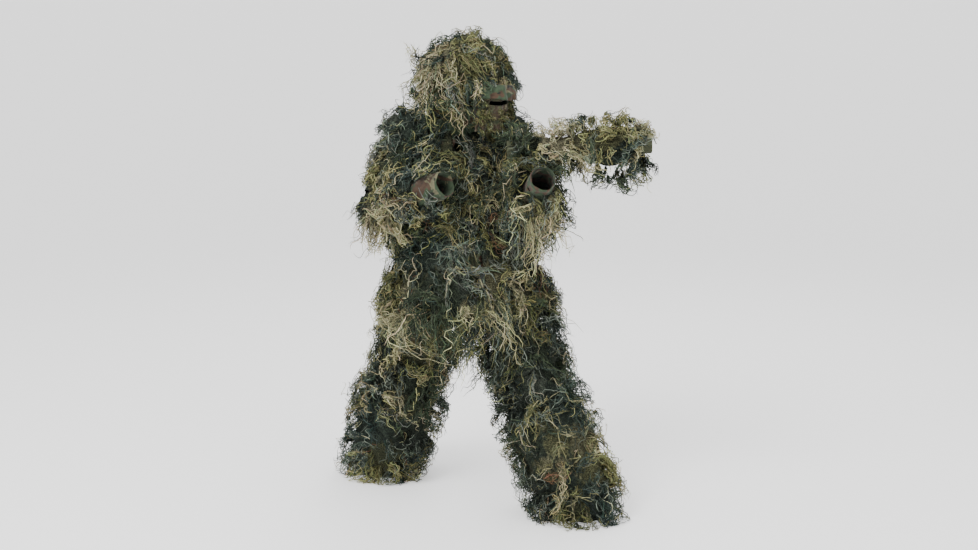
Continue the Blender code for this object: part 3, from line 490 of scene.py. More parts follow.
# ---------------------------------------------------------------- threads
# Patches where one colour rules: place above the ground, radius, colour
PATCHES = (
    (-0.10, -0.08, 1.70, 0.06, KHAKI), (-0.15, -0.10, 1.63, 0.07, TAN),
    (-0.15, -0.12, 1.54, 0.07, MOSS), (-0.02, -0.06, 1.74, 0.06, MOSS),
    (-0.03, -0.16, 1.63, 0.05, OLIVE), (0.04, -0.14, 1.67, 0.06, MOSS),
    (0.05, -0.08, 1.71, 0.06, FOREST), (0.10, -0.10, 1.64, 0.06, OLIVE),
    (-0.10, -0.14, 1.47, 0.07, FOREST), (0.15, -0.06, 1.60, 0.08, BLUE_GREEN),
    (0.13, -0.14, 1.56, 0.05, KHAKI), (0.12, -0.16, 1.48, 0.06, OLIVE),
    (0.05, -0.20, 1.43, 0.06, OLIVE), (0.16, -0.02, 1.44, 0.10, BLUE_GREEN),
    (-0.20, -0.06, 1.64, 0.07, BLACK_GREEN), (-0.20, -0.06, 1.54, 0.06, FOREST),
    (0.02, -0.16, 1.70, 0.04, BLUE_GREEN), (0.13, -0.06, 1.69, 0.06, FOREST),
    (-0.20, -0.08, 1.40, 0.09, BLUE_GREEN), (-0.30, -0.02, 1.36, 0.10, GREY_GREEN),
    (-0.36, -0.06, 1.26, 0.09, OLIVE), (-0.28, -0.10, 1.30, 0.06, FOREST),
    (-0.41, -0.10, 1.13, 0.09, BLACK_GREEN), (-0.27, -0.24, 1.18, 0.035, RUST),
    (-0.33, -0.22, 1.10, 0.08, KHAKI), (-0.36, -0.18, 1.01, 0.09, TAN),
    (-0.22, -0.24, 1.24, 0.08, BLUE_GREEN), (-0.05, -0.20, 1.36, 0.10, OLIVE),
    (-0.10, -0.22, 1.26, 0.08, FOREST), (0.02, -0.22, 1.28, 0.08, GREY_GREEN),
    (0.02, -0.26, 1.15, 0.08, KHAKI), (-0.10, -0.26, 1.08, 0.08, MOSS),
    (-0.17, -0.20, 0.99, 0.09, BLUE_GREEN), (-0.24, -0.12, 1.06, 0.08, FOREST),
    (-0.05, -0.26, 0.95, 0.11, GREY_GREEN), (0.10, -0.28, 1.17, 0.06, OLIVE),
    (0.19, -0.30, 1.13, 0.06, KHAKI), (0.27, -0.26, 1.12, 0.06, FOREST),
    (0.24, -0.28, 1.04, 0.07, TAN), (0.12, -0.26, 1.08, 0.07, GREY_GREEN),
    (0.14, -0.24, 1.00, 0.06, MOSS), (0.24, -0.16, 1.16, 0.09, FOREST),
    (0.17, -0.20, 0.93, 0.08, MOSS), (0.06, -0.26, 0.88, 0.08, KHAKI),
    (0.24, -0.12, 0.94, 0.08, BLACK_GREEN), (-0.26, -0.10, 0.88, 0.09, OLIVE),
    (-0.27, -0.16, 0.79, 0.08, KHAKI), (-0.25, -0.20, 0.70, 0.07, KHAKI),
    (-0.14, -0.26, 0.82, 0.09, FOREST), (-0.13, -0.26, 0.68, 0.08, OLIVE),
    (-0.03, -0.30, 0.77, 0.05, KHAKI), (-0.05, -0.30, 0.62, 0.11, OLIVE),
    (0.01, -0.30, 0.51, 0.09, MOSS), (0.10, -0.26, 0.73, 0.09, BLACK_GREEN),
    (0.21, -0.20, 0.80, 0.08, OLIVE), (0.29, -0.14, 0.74, 0.08, BLACK_GREEN),
    (0.17, -0.24, 0.63, 0.11, BLACK_GREEN), (0.28, -0.16, 0.56, 0.09, FOREST),
    (0.20, -0.24, 0.50, 0.07, GREY_GREEN), (-0.34, 0.02, 0.50, 0.10, BLACK_GREEN),
    (-0.22, 0.00, 0.42, 0.08, FOREST), (-0.29, 0.02, 0.32, 0.08, KHAKI),
    (-0.20, -0.02, 0.56, 0.06, OLIVE), (-0.33, -0.20, 1.20, 0.06, MOSS),
    (0.06, -0.22, 0.60, 0.05, OLIVE), (0.12, -0.24, 0.22, 0.05, OLIVE),
    (0.30, -0.28, 0.30, 0.05, MOSS), (-0.40, 0.10, 0.26, 0.10, BLUE_GREEN),
    (-0.48, 0.22, 0.18, 0.11, BLUE_GREEN), (-0.23, 0.10, 0.18, 0.09, BLACK_GREEN),
    (-0.35, 0.16, 0.12, 0.08, OLIVE), (-0.38, 0.18, 0.04, 0.09, MOSS),
    (-0.26, 0.18, 0.06, 0.08, BLUE_GREEN), (0.10, -0.18, 0.42, 0.10, BLACK_GREEN),
    (0.17, -0.24, 0.31, 0.08, FOREST), (0.21, -0.26, 0.38, 0.06, MOSS),
    (0.32, -0.18, 0.42, 0.10, BLUE_GREEN), (0.41, -0.22, 0.30, 0.08, KHAKI),
    (0.46, -0.22, 0.20, 0.10, MOSS), (0.25, -0.34, 0.21, 0.07, KHAKI),
    (0.31, -0.34, 0.14, 0.07, BLUE_GREEN), (0.22, -0.30, 0.08, 0.09, BLACK_GREEN),
    (0.46, -0.28, 0.07, 0.09, BLUE_GREEN), (0.34, -0.34, 0.05, 0.07, OLIVE),
    (0.18, -0.26, 1.38, 0.07, FOREST), (0.28, -0.28, 1.39, 0.07, TAN),
    (0.37, -0.28, 1.36, 0.07, KHAKI), (0.46, -0.32, 1.40, 0.08, MOSS),
    (0.53, -0.34, 1.31, 0.08, BLUE_GREEN), (0.59, -0.30, 1.38, 0.07, KHAKI),
    (0.48, -0.30, 1.23, 0.08, FOREST), (0.56, -0.28, 1.22, 0.07, OLIVE),
    (-0.15, 0.18, 1.25, 0.12, OLIVE), (0.08, 0.18, 1.10, 0.12, BLACK_GREEN),
    (-0.10, 0.22, 0.95, 0.11, KHAKI), (0.12, 0.26, 0.82, 0.11, MOSS),
    (-0.22, 0.24, 0.74, 0.11, BLUE_GREEN), (0.02, 0.16, 1.64, 0.13, OLIVE),
    (-0.30, 0.30, 0.45, 0.11, OLIVE), (0.22, 0.06, 0.42, 0.11, KHAKI),
    (-0.36, 0.46, 0.15, 0.12, FOREST), (0.36, -0.04, 0.15, 0.12, BLACK_GREEN),
    (0.02, 0.18, 1.32, 0.10, FOREST), (-0.20, 0.18, 1.06, 0.10, MOSS),
)
FAMILIES = (BLACK_GREEN, BLUE_GREEN, FOREST, OLIVE, MOSS, KHAKI, GREY_GREEN, RUST)
FAMILY_SHARE = (0.22, 0.20, 0.19, 0.15, 0.09, 0.07, 0.06, 0.02)

# Where tufts hang long: place above the ground, radius, extra length share, extra droop
HANGS = (
    (-0.09, -0.10, 1.68, 0.07, 0.45, 0.60), (0.10, -0.28, 1.16, 0.08, 0.40, 0.45),
    (-0.15, -0.12, 1.60, 0.09, 0.55, 0.30), (-0.36, -0.18, 1.08, 0.10, 0.35, 0.45),
    (0.20, -0.28, 1.12, 0.10, 0.45, 0.45), (0.00, -0.26, 1.14, 0.08, 0.30, 0.35),
    (-0.03, -0.28, 0.72, 0.15, 0.75, 0.50), (0.50, -0.28, 1.30, 0.12, 0.25, 0.35),
    (-0.02, -0.06, 0.66, 0.12, 0.80, 0.70), (-0.02, -0.19, 1.55, 0.06, 0.90, 0.55),
    (-0.22, -0.14, 0.76, 0.12, 0.10, 0.20), (0.20, -0.18, 0.76, 0.12, 0.25, 0.25),
)
# Where tufts are short: the brow of the hood above its opening, and beside the cuffs
SHORTS = ((0.060, -0.150, 1.600, 0.085, 0.62), (0.10, -0.13, 1.50, 0.07, 0.45),
          (-0.15, -0.29, 1.195, 0.06, 0.40), (0.225, -0.33, 1.21, 0.06, 0.35),
          (-0.40, -0.12, 1.13, 0.08, 0.45), (-0.36, -0.06, 1.26, 0.08, 0.30))

# Each kind of thread: segments, length, half thickness, curl radius, length of one curl
FUZZ = {"segments": 6, "length": (0.05, 0.10), "half": (0.0014, 0.0021), "curl": (0.005, 0.010),
        "wave": (0.040, 0.065), "spread": 0.32, "each": 4.0}
STRAND = {"segments": 13, "length": (0.08, 0.16), "half": (0.0011, 0.0018),
          "curl": (0.006, 0.013), "wave": (0.036, 0.062), "spread": 0.21, "each": 6.0}
STRAY = {"segments": 16, "length": (0.10, 0.17), "half": (0.0010, 0.0014),
         "curl": (0.009, 0.016), "wave": (0.045, 0.075), "spread": 0.36, "each": 0.5}


TUFTS = 640.0               # knots for each square metre of cloth
GUIDE_STOPS = 16            # points along each tuft's guide line


def in_ground_frame(points):
    """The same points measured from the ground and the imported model's own middle."""
    return points - np.array([ROW_SHIFT, 0.0, GROUND])


def nearness(points, table):
    """How strongly each entry of a table of places and radii acts at each point."""
    places = np.array([entry[:3] for entry in table])
    reach = np.array([entry[3] for entry in table])
    gap = np.linalg.norm(in_ground_frame(points)[:, None, :] - places[None], axis=2) / reach
    return np.exp(-gap ** 2), gap


def patch_colour(points, rng):
    """The ruling colour of each bundle: a listed patch near it, or a random family."""
    colours = np.array([entry[4] for entry in PATCHES])
    _, gap = nearness(points, PATCHES)
    best = gap.argmin(axis=1)
    loose = np.array(FAMILIES)[rng.choice(len(FAMILIES), len(points), p=FAMILY_SHARE)]
    inside = gap.min(axis=1) < rng.uniform(0.80, 1.35, len(points))
    return np.where(inside[:, None], colours[best], loose)


def hold_outside(points, margins, shapes, own):
    """Push points out of the cloth: a full margin off their own surface, less off the others."""
    for name, shape in shapes.items():
        distance, outward = shape.nearest(points)
        wanted = margins if name in own else margins * 0.45
        short = np.clip(wanted - distance, 0.0, 0.08)
        points = points + outward * short[:, None]
    points[:, 2] = np.maximum(points[:, 2], GROUND + 0.003)
    return points


def hold_near(points, limit, shapes, own):
    """Draw points that stand too far off their own cloth back towards it."""
    if not own:
        return points
    nearest = None
    for name in own:
        distance, outward = shapes[name].nearest(points)
        if nearest is None:
            nearest, away = distance, outward
        else:
            closer = distance < nearest
            nearest = np.where(closer, distance, nearest)
            away = np.where(closer[:, None], outward, away)
    over = np.clip(nearest - limit, 0.0, 0.2) * 0.75
    return points - away * over[:, None]


def grow_guides(region, shapes, rng):
    """One guide line for each tuft: where the knot's threads lie or hang."""
    knots = max(6, int(region["area"] * TUFTS))
    places, normals = region["scatter"](rng, knots)
    count = len(places)
    hang_pull, _ = nearness(places, HANGS)
    extra = hang_pull @ np.array([entry[4] for entry in HANGS])
    droop = 0.14 * region["droop"] + hang_pull @ np.array([entry[5] for entry in HANGS]) * 0.55
    droop = droop + rng.uniform(-0.03, 0.10, count)
    cut = nearness(places, SHORTS)[0] @ np.array([entry[4] for entry in SHORTS])
    length = TUFT_LENGTH * region["longer"] * (1.0 + extra) * np.clip(1.0 - cut, 0.25, 1.0)
    thickness = region["thickness"] * rng.uniform(0.45, 1.0, count)
    deep = region["thickness"] > 0.045
    stand = rng.uniform(0.0, 0.55 if deep else 0.2, count) * region["thickness"]
    places = places + normals * stand[:, None]
    heading = normals * 0.75 + rng.normal(size=(count, 3)) * 0.60
    sideways_out = normals * np.array([1.0, 1.0, 0.0])
    fall = sideways_out + np.array([0.0, 0.0, -0.35])
    heading = heading * (1.0 - region["lie"]) + fall * region["lie"]
    heading /= lengths_of(heading)
    wander = rng.normal(size=(count, 3)) * 0.30
    now, points = places, [places]
    for index in range(GUIDE_STOPS - 1):
        wander = wander * 0.75 + rng.normal(size=(count, 3)) * 0.18
        heading = heading + wander
        heading[:, 2] -= droop
        heading /= lengths_of(heading)
        ahead = now + heading * (length / (GUIDE_STOPS - 1))[:, None]
        rise = thickness * min(1.0, (index + 1) / 4.0)
        held = hold_outside(ahead, rise, shapes, region["own"])
        limit = region["thickness"] * 1.05 + 0.30 * np.clip(extra, 0.0, 1.0)
        now = hold_near(held, limit, shapes, region["own"])
        heading = heading * 0.6 + (now - points[-1]) / lengths_of(now - points[-1]) * 0.4
        points.append(now)
    return np.stack(points, axis=1), normals, length, patch_colour(places, rng)


def grow(guides, kind, region, shapes, rng):
    """Threads that follow their tuft's guide, fanning out and curling as they go."""
    lines, normals, reach, rulers = guides
    owner = np.repeat(np.arange(len(lines)), rng.poisson(kind["each"], len(lines)))
    count, stops = len(owner), kind["segments"] + 1
    length = rng.uniform(*kind["length"], count) * region["longer"]
    length = length * np.clip(reach[owner] / TUFT_LENGTH, 0.3, 1.5)
    share = np.clip(length / reach[owner], 0.1, 1.25)
    where = np.linspace(0.0, 1.0, stops)[None] * share[:, None] * (GUIDE_STOPS - 1)
    low = np.clip(where.astype(int), 0, GUIDE_STOPS - 2)
    part = (where - low)[..., None]
    rows = owner[:, None]
    path = lines[rows, low] * (1 - part) + lines[rows, low + 1] * part

    arc = np.linspace(0.0, 1.0, stops)[None] * length[:, None]
    fan = rng.normal(size=(count, 3)) + normals[owner] * 0.25
    fan /= lengths_of(fan)
    path = path + fan[:, None] * (0.004 + kind["spread"] * arc)[..., None] * rng.uniform(
        0.3, 1.0, (count, 1, 1))
    frame_a = rng.normal(size=(count, 3))
    frame_a /= lengths_of(frame_a)
    frame_b = np.cross(frame_a, rng.normal(size=(count, 3)))
    frame_b /= lengths_of(frame_b)
    turn = 2 * math.pi * arc / rng.uniform(*kind["wave"], (count, 1))
    phase = rng.uniform(0, 2 * math.pi, (2, count, 1))
    size = rng.uniform(*kind["curl"], (count, 1)) * np.clip(arc / 0.02, 0.0, 1.0)
    path = path + (size * np.cos(turn + phase[0]))[..., None] * frame_a[:, None]
    path = path + (size * np.sin(turn * 0.83 + phase[1]))[..., None] * frame_b[:, None]
    path = path + rng.normal(size=path.shape) * 0.0016
    flat = path.reshape(-1, 3)
    lift = np.tile(np.clip(np.linspace(0.0, 1.0, stops) * 4, 0.05, 1.0), count)
    flat = hold_outside(flat, region["thickness"] * 0.16 * lift, shapes, region["own"])
    return inside_box(flat).reshape(count, stops, 3), rulers[owner]


def inside_box(points):
    """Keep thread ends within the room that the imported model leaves."""
    low, high = np.array(CAD_BOX[0]), np.array(CAD_BOX[1])
    room = 0.02 * (high - low) + 0.004
    bottom = low - room
    bottom[2] = GROUND + 0.001
    crown = high[2] + 0.010
    points = points.copy()
    above = points[:, 2] > crown
    points[above, 2] = crown + (points[above, 2] - crown) * 0.3
    return np.clip(points, bottom, high + room)


def strand_tubes(name, lines, half, tints):
    """One mesh of three-sided tubes along the lines, with a tint that is darker towards the root as painted shade,
    and a texture cell for each.
    """
    count, stops, _ = lines.shape
    ahead = np.empty_like(lines)
    ahead[:, 1:-1] = lines[:, 2:] - lines[:, :-2]
    ahead[:, 0] = lines[:, 1] - lines[:, 0]
    ahead[:, -1] = lines[:, -1] - lines[:, -2]
    ahead /= lengths_of(ahead)
    guide = np.array([0.31, 0.57, 0.76])
    across = np.cross(ahead, guide)
    across /= lengths_of(across)
    other = np.cross(ahead, across)
    taper = np.interp(np.linspace(0, 1, stops), (0.0, 0.1, 0.85, 1.0), (0.9, 1.0, 0.9, 0.35))
    size = half[:, None] * taper[None]
    corners = []
    for corner in range(3):
        angle = 2 * math.pi * corner / 3
        spoke = math.cos(angle) * across + math.sin(angle) * other
        corners.append(lines + size[..., None] * spoke)
    verts = np.stack(corners, axis=2).reshape(-1, 3)

    base = (np.arange(count) * stops * 3)[:, None, None]
    ring = (np.arange(stops - 1) * 3)[None, :, None]
    side = np.arange(3)[None, None, :]
    nxt = (side + 1) % 3
    quads = np.stack([base + ring + side, base + ring + nxt,
                      base + ring + 3 + nxt, base + ring + 3 + side], axis=-1).reshape(-1, 4)
    caps = np.concatenate([
        base[:, 0] + np.array([[2, 1, 0]]),
        base[:, 0] + (stops - 1) * 3 + np.array([[0, 1, 2]]),
    ])
    mesh = bpy.data.meshes.new(name)
    mesh.vertices.add(len(verts))
    mesh.vertices.foreach_set("co", verts.ravel().astype(np.float32))
    loops = np.concatenate([quads.ravel(), caps.ravel()])
    starts = np.concatenate([np.arange(len(quads)) * 4, len(quads) * 4 + np.arange(len(caps)) * 3])
    mesh.loops.add(len(loops))
    mesh.loops.foreach_set("vertex_index", loops.astype(np.int32))
    mesh.polygons.add(len(starts))
    mesh.polygons.foreach_set("loop_start", starts.astype(np.int32))
    mesh.update(calc_edges=True)
    mesh.shade_smooth()

    tint = mesh.color_attributes.new("tint", "FLOAT_COLOR", "POINT")
    # painted shade: each thread darker towards its root, where it lies deep in its tuft, and a little lighter
    # towards its tip
    shade = np.interp(np.linspace(0, 1, stops), (0.0, 0.25, 1.0), (0.62, 0.95, 1.08))
    colour = np.ones((count, stops, 3, 4))
    colour[..., :3] = tints[:, None, None, :] * shade[None, :, None, None]
    tint.data.foreach_set("color", colour.ravel().astype(np.float32))

    cells = math.ceil(math.sqrt(count))
    origin = np.stack([np.arange(count) % cells, np.arange(count) // cells], axis=1)
    stop_of = (loops // 3) % stops
    strand_of = loops // (3 * stops)
    corner_of = (loops % 3).astype(float)
    closing = np.zeros(len(loops), bool)
    closing[:len(quads) * 4] = (np.tile([0, 1, 1, 0], len(quads)) == 1) & (
        corner_of[:len(quads) * 4] == 0)
    corner_of[closing] = 3.0
    pad = 0.16
    inner = np.stack([corner_of / 3.0, stop_of / (stops - 1)], axis=1) * (1 - 2 * pad) + pad
    layer = mesh.uv_layers.new(name="OFBake")
    layer.data.foreach_set("uv", ((origin[strand_of] + inner) / cells).ravel().astype(np.float32))
    piece = placed(name, mesh)
    return piece


# ---------------------------------------------------------------- where the threads grow
def regions(shapes):
    """Each stretch of threads: its name, how roots are scattered, area, thickness, how many
    times longer its threads are, how much they droop, and the shapes they lie on."""
    made = []

    def add(name, scatter, area, thickness, longer, own, droop=1.0, body=None, nodes=None,
            lie=0.0):
        made.append({"name": name, "scatter": scatter, "area": area, "thickness": thickness,
                     "longer": longer, "own": own, "droop": droop, "lie": lie,
                     "body": body or BODY_OF[name], "nodes": [name] if nodes is None else nodes})

    jacket, hood = shapes["jacket"], shapes["hood"]
    pi = math.pi
    fronts = (("back", 0.0, pi, 0.5), ("front_right", pi, 1.5 * pi, 0.25),
              ("front_left", 1.5 * pi, 2 * pi, 0.25))
    for label, start, stop, share in fronts:
        add(f"jacket_{label}_threads",
            lambda rng, n, a=start, b=stop: scatter_jacket(rng, n, jacket, a, b),
            jacket.area(0.90, 1.42, share) * 1.05, 0.038, 1.0, ("jacket",))
        add(f"hem_fringe_{label}",
            lambda rng, n, a=start, b=stop: jacket.scatter(rng, n, 0.73, 0.90, a, b),
            jacket.area(0.74, 0.90, share) * 1.5, 0.032, 1.10, ("jacket",), 1.3)
    add("hood_threads", lambda rng, n: scatter_hood(rng, n, hood), 0.29, 0.036, 0.95, ("hood",),
        1.2, lie=0.75)
    add("brow_threads", scatter_brow, 0.100, 0.020, 0.62, (), 3.0, body="hood", nodes=[],
        lie=0.6)
    for side in ("right", "left"):
        sleeve, forearm = shapes[f"{side}_upper_sleeve"], shapes[f"{side}_forearm"]
        thigh, shin = shapes[f"{side}_thigh"], shapes[f"{side}_shin"]
        add(f"{side}_shoulder_threads",
            lambda rng, n, s=sleeve: scatter_cap(rng, n, s.start, 0.078),
            0.090, 0.030, 0.9, (f"{side}_upper_sleeve", "jacket"))
        add(f"{side}_upper_sleeve_threads", lambda rng, n, s=sleeve: s.scatter(rng, n, 0.15, 0.85),
            sleeve.area(0.15, 0.85) * 1.25, 0.024, 0.90, (f"{side}_upper_sleeve",), 1.3)
        add(f"{side}_elbow_threads", lambda rng, n, f=forearm: scatter_cap(rng, n, f.start, 0.068),
            0.075, 0.020, 0.85, (f"{side}_forearm", f"{side}_upper_sleeve"), 1.8)
        add(f"{side}_forearm_threads", lambda rng, n, f=forearm: f.scatter(rng, n, 0.10, 1.00),
            forearm.area(0.10, 1.00) * 1.6, 0.032, 1.0, (f"{side}_forearm",))
        add(f"{side}_thigh_threads", lambda rng, n, t=thigh: t.scatter(rng, n, 0.15, 0.88),
            thigh.area(0.15, 0.88) * 1.1, 0.052, 1.0, (f"{side}_thigh",))
        add(f"{side}_knee_threads", lambda rng, n, t=shin: scatter_cap(rng, n, t.start, 0.100),
            0.120, 0.052, 1.0, (f"{side}_shin", f"{side}_thigh"))
        add(f"{side}_shin_threads", lambda rng, n, s=shin: scatter_shin(rng, n, s),
            shin.area(0.08, 0.97) * 1.35, 0.078, 1.0, (f"{side}_shin",))
    wrap = shapes["wrap"]
    add("wrap_threads", lambda rng, n: scatter_wrap(rng, n, wrap), 0.28, 0.056, 0.75, ("wrap",))
    add("veil_threads", scatter_veil, 0.115, 0.020, 0.48, (), 2.4, body="veil", nodes=[])
    return made


def scatter_cap(rng, count, centre, radius):
    """Roots all round a joint."""
    outward = rng.normal(size=(count, 3))
    outward /= lengths_of(outward)
    return centre + outward * radius, outward


def scatter_wrap(rng, count, wrap):
    """Roots along the wrap, most of them on its bulky front half."""
    points, outward = wrap.scatter(rng, count, 0.02, 0.975)
    share = (points - wrap.start) @ wrap.axis / (wrap.axis @ wrap.axis)
    bulk = share > 0.52
    keep = rng.uniform(size=count) < np.where(bulk, 1.0, 0.85)
    points = points + outward * np.where(bulk, rng.uniform(0.02, 0.055, count), 0.0)[:, None]
    rear, rear_out = wrap.scatter(rng, count // 5, -0.02, 0.10)
    front, front_out = wrap.scatter(rng, count // 6, 0.90, 0.995)
    return (np.concatenate([points[keep], rear, front]),
            np.concatenate([outward[keep], rear_out, front_out]))


def scatter_shin(rng, count, shin):
    """Roots down the shin, and a thicker ring of them at the hem."""
    points, outward = shin.scatter(rng, int(count * 0.72), 0.08, 0.95)
    ankle = shin.end
    hem = Limb(ankle + np.array([0.0, 0.0, 0.09]), ankle - np.array([0.0, 0.0, 0.03]), (0.098,) * 2)
    more, away = hem.scatter(rng, int(count * 0.28))
    return np.concatenate([points, more]), np.concatenate([outward, away])


def scatter_jacket(rng, count, jacket, start, stop):
    """Roots over one panel, and more of them beside the zip, where they fall across it."""
    points, normals = jacket.scatter(rng, count, 0.90, 1.42, start, stop)
    front = 1.5 * math.pi
    if front not in (start, stop):
        return points, normals
    near, far = (front - 0.28, front - 0.04) if stop == front else (front + 0.04, front + 0.28)
    more, away = jacket.scatter(rng, count // 5, 0.86, 1.30, near, far)
    return np.concatenate([points, more]), np.concatenate([normals, away])


def scatter_brow(rng, count):
    """Roots over the brim and the brow, whose threads hang over the top of the veil."""
    sideways, forward, middle = head_frame()
    part = rng.uniform(size=count)
    angle = np.where(part < 0.52, rng.uniform(-138, -100, count), rng.uniform(-100, -68, count))
    angle = np.radians(np.where(part > 0.72, rng.uniform(-68, -40, count), angle))
    out = rng.uniform(0.0, 1.0, count)
    wide, deep = 0.134 + 0.020 * out, 0.148 + 0.056 * out
    flat = (np.cos(angle) * wide)[:, None] * sideways
    flat = flat - (np.sin(angle) * deep)[:, None] * forward
    points = middle + flat
    points[:, 2] = GROUND + 1.562 + 0.018 * (1.0 - out)
    return points, np.repeat((forward * 0.8 + np.array([0.0, 0.0, 0.6]))[None], count, axis=0)


def scatter_veil(rng, count):
    """Roots over the lower half of the veil and down both edges."""
    sideways, forward, _ = head_frame()
    hinge = joint_at("veil_lift")
    across = rng.uniform(-1.0, 1.0, count)
    drop = rng.uniform(0.52, 0.98, count)
    edge = rng.uniform(size=count) < 0.45
    left = rng.uniform(size=count) < 0.45
    brink = rng.uniform(0.62, 1.0, count) * np.where(left, 1.0, -1.0)
    across = np.where(edge, brink, across)
    drop = np.where(edge, rng.uniform(0.02, 0.90, count), drop)
    bow = 0.002 - 0.034 * across ** 2 - 0.010 * drop
    points = hinge + across[:, None] * VEIL_HALF_WIDTH * sideways + bow[:, None] * forward
    points[:, 2] -= 0.15 * drop
    return points, np.repeat(forward[None], count, axis=0)


def scatter_hood(rng, count, hood):
    """Roots over the hood, leaving the face opening free."""
    points, normals = hood.scatter(rng, count, 1.400, 1.700)
    extra, lift = hood.scatter(rng, count // 3, 1.64, 1.700)
    cheek, cheek_out = hood.scatter(rng, count // 7, 1.44, 1.60, -0.55, 0.35)
    extra = np.concatenate([extra, cheek + cheek_out * rng.uniform(0.0, 0.03, (len(cheek), 1))])
    lift = np.concatenate([lift, cheek_out])
    top = rng.normal(size=(count // 6, 3)) * 0.030
    tilt = top * np.array([8.0, 8.0, 0.0]) + np.array([0.0, 0.0, 1.0])
    top[:, 2] = rng.uniform(-0.004, 0.010, len(top))
    top = top + np.array([0.068, -0.020, GROUND + 1.698])
    points = np.concatenate([points, extra, top])
    normals = np.concatenate([normals, lift, tilt / lengths_of(tilt)])
    facing = np.array([math.sin(HEAD_YAW), -math.cos(HEAD_YAW)])
    flat = normals[:, :2] / lengths_of(normals[:, :2])
    opening = (flat @ facing > 0.72) & (points[:, 2] < GROUND + 1.565)
    brow = (flat @ facing > 0.86) & (points[:, 2] < GROUND + 1.615)
    opening = opening | (brow & (rng.uniform(size=len(points)) < 0.75))
    return points[~opening], normals[~opening]


def thread_tints(rulers, kind, rng):
    """Each thread's own shade of its bundle's colour."""
    count = len(rulers)
    value = rng.lognormal(0.0, 0.32, (count, 1))
    hue = 1.0 + rng.normal(size=(count, 3)) * 0.06
    tints = rulers * value * hue
    if kind is FUZZ:
        dark = np.array([BLACK_GREEN, BLUE_GREEN, FOREST])[rng.choice(3, count)]
        share = rng.uniform(0.25, 0.95, (count, 1))
        tints = tints * (1 - share) + dark * value * share
    if kind is STRAND:
        dark_ones = rulers.max(axis=1, keepdims=True) < 0.06
        tints = np.where(dark_ones & (rng.uniform(size=(count, 1)) < 0.40),
                         tints * 0.4 + np.array(GREY_GREEN) * 0.80 * value, tints)
        other = np.array(FAMILIES)[rng.choice(len(FAMILIES), count, p=FAMILY_SHARE)]
        tints = np.where(rng.uniform(size=(count, 1)) < 0.10, other * value, tints)
    if kind is STRAY:
        pale = np.array([TAN, KHAKI, GREY_GREEN, MOSS])[rng.choice(4, count)]
        tints = pale * value * hue * 0.9
    return np.clip(tints, 0.002, 0.75)


def matted_layer(node, share, shapes, own, material, seed):
    """The dense mat of short threads and netting that the long threads stand in, tinted near black as painted
    shade of the deep tangle.
    """
    shape = bmesh.new()
    shape.from_mesh(frame["nodes"][node].data)
    bmesh.ops.remove_doubles(shape, verts=shape.verts, dist=1e-5)
    for _ in range(5):
        long_edges = [edge for edge in shape.edges if edge.calc_length() > 0.020]
        if not long_edges or len(shape.verts) > 9000:
            break
        bmesh.ops.subdivide_edges(shape, edges=long_edges, cuts=1)
        bmesh.ops.triangulate(shape, faces=[f for f in shape.faces if len(f.verts) > 3])
    mesh = bpy.data.meshes.new(node + "_mat")
    shape.to_mesh(mesh)
    shape.free()
    co = np.zeros(len(mesh.vertices) * 3, np.float32)
    mesh.vertices.foreach_get("co", co)
    co = co.reshape(-1, 3).astype(float)
    for name in own:
        distance, outward = shapes[name].nearest(co)
        lumps = smooth_noise(co, 0.050, seed)[:, :1] * 0.005
        lumps = lumps + smooth_noise(co, 0.014, seed + 1)[:, :1] * 0.003
        wanted = np.maximum(distance * share, 0.0015)[:, None] + np.where(
            distance[:, None] > 0.010, np.clip(lumps, -0.006, 0.009), 0.0)
        nearest = distance < 0.22
        co = np.where(nearest[:, None], co + outward * (wanted - distance[:, None]), co)
    co[:, 2] = np.maximum(co[:, 2], GROUND + 0.004)
    mesh.vertices.foreach_set("co", co.ravel().astype(np.float32))
    mesh.shade_smooth()
    rng = np.random.default_rng(seed)
    tint = mesh.color_attributes.new("tint", "FLOAT_COLOR", "POINT")
    colour = np.ones((len(co), 4))
    # painted shade: the patch colour dimmed to 12 per cent and mixed with black-green, for the shade deep in the
    # tangle
    colour[:, :3] = patch_colour(co, rng) * 0.12 + np.array(BLACK_GREEN) * 0.50
    tint.data.foreach_set("color", colour.ravel().astype(np.float32))
    piece = placed(node + "_mat", mesh)
    mesh.materials.append(material)
    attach(piece, BODY_OF[node])
    return piece


def grow_region(region, shapes, material, seed):
    """All threads of one region as one piece on its body."""
    rng = np.random.default_rng(seed)
    guides = grow_guides(region, shapes, rng)
    pieces = []
    for kind in (FUZZ, STRAND, STRAY):
        path, rulers = grow(guides, kind, region, shapes, rng)
        half = rng.uniform(*kind["half"], len(path))
        tints = thread_tints(rulers, kind, rng)
        pieces.append(strand_tubes(region["name"], path, half, tints))
    whole = join_meshes(region["name"] + "_tied", pieces)
    whole.data.materials.clear()
    whole.data.materials.append(material)
    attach(whole, region["body"])
    if region["nodes"]:
        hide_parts(*region["nodes"])
    return whole


def join_meshes(name, pieces):
    """Join the kinds of thread, giving each its own band of the texture."""
    bands = len(pieces)
    for index, piece in enumerate(pieces):
        layer = piece.data.uv_layers["OFBake"]
        uv = np.zeros(len(layer.data) * 2, np.float32)
        layer.data.foreach_get("uv", uv)
        uv = uv.reshape(-1, 2)
        uv[:, 1] = (uv[:, 1] + index) / bands
        layer.data.foreach_set("uv", uv.ravel())
    with bpy.context.temp_override(active_object=pieces[0], selected_objects=pieces,
                                   selected_editable_objects=pieces):
        bpy.ops.object.join()
    pieces[0].name = name
    pieces[0].data.name = name
    return pieces[0]


# ---------------------------------------------------------------- cloth
def smooth_noise(points, scale, seed):
    """A soft vector field: four octaves of sines with seeded directions."""
    rng = np.random.default_rng(seed)
    field = np.zeros_like(points)
    for octave in range(4):
        wave = rng.normal(size=(3, 3)) * (2 * math.pi / scale) * (0.6 + 0.5 * octave)
        shift = rng.uniform(0, 2 * math.pi, 3)
        field += np.sin(points @ wave + shift) / (1.0 + octave)
    return field


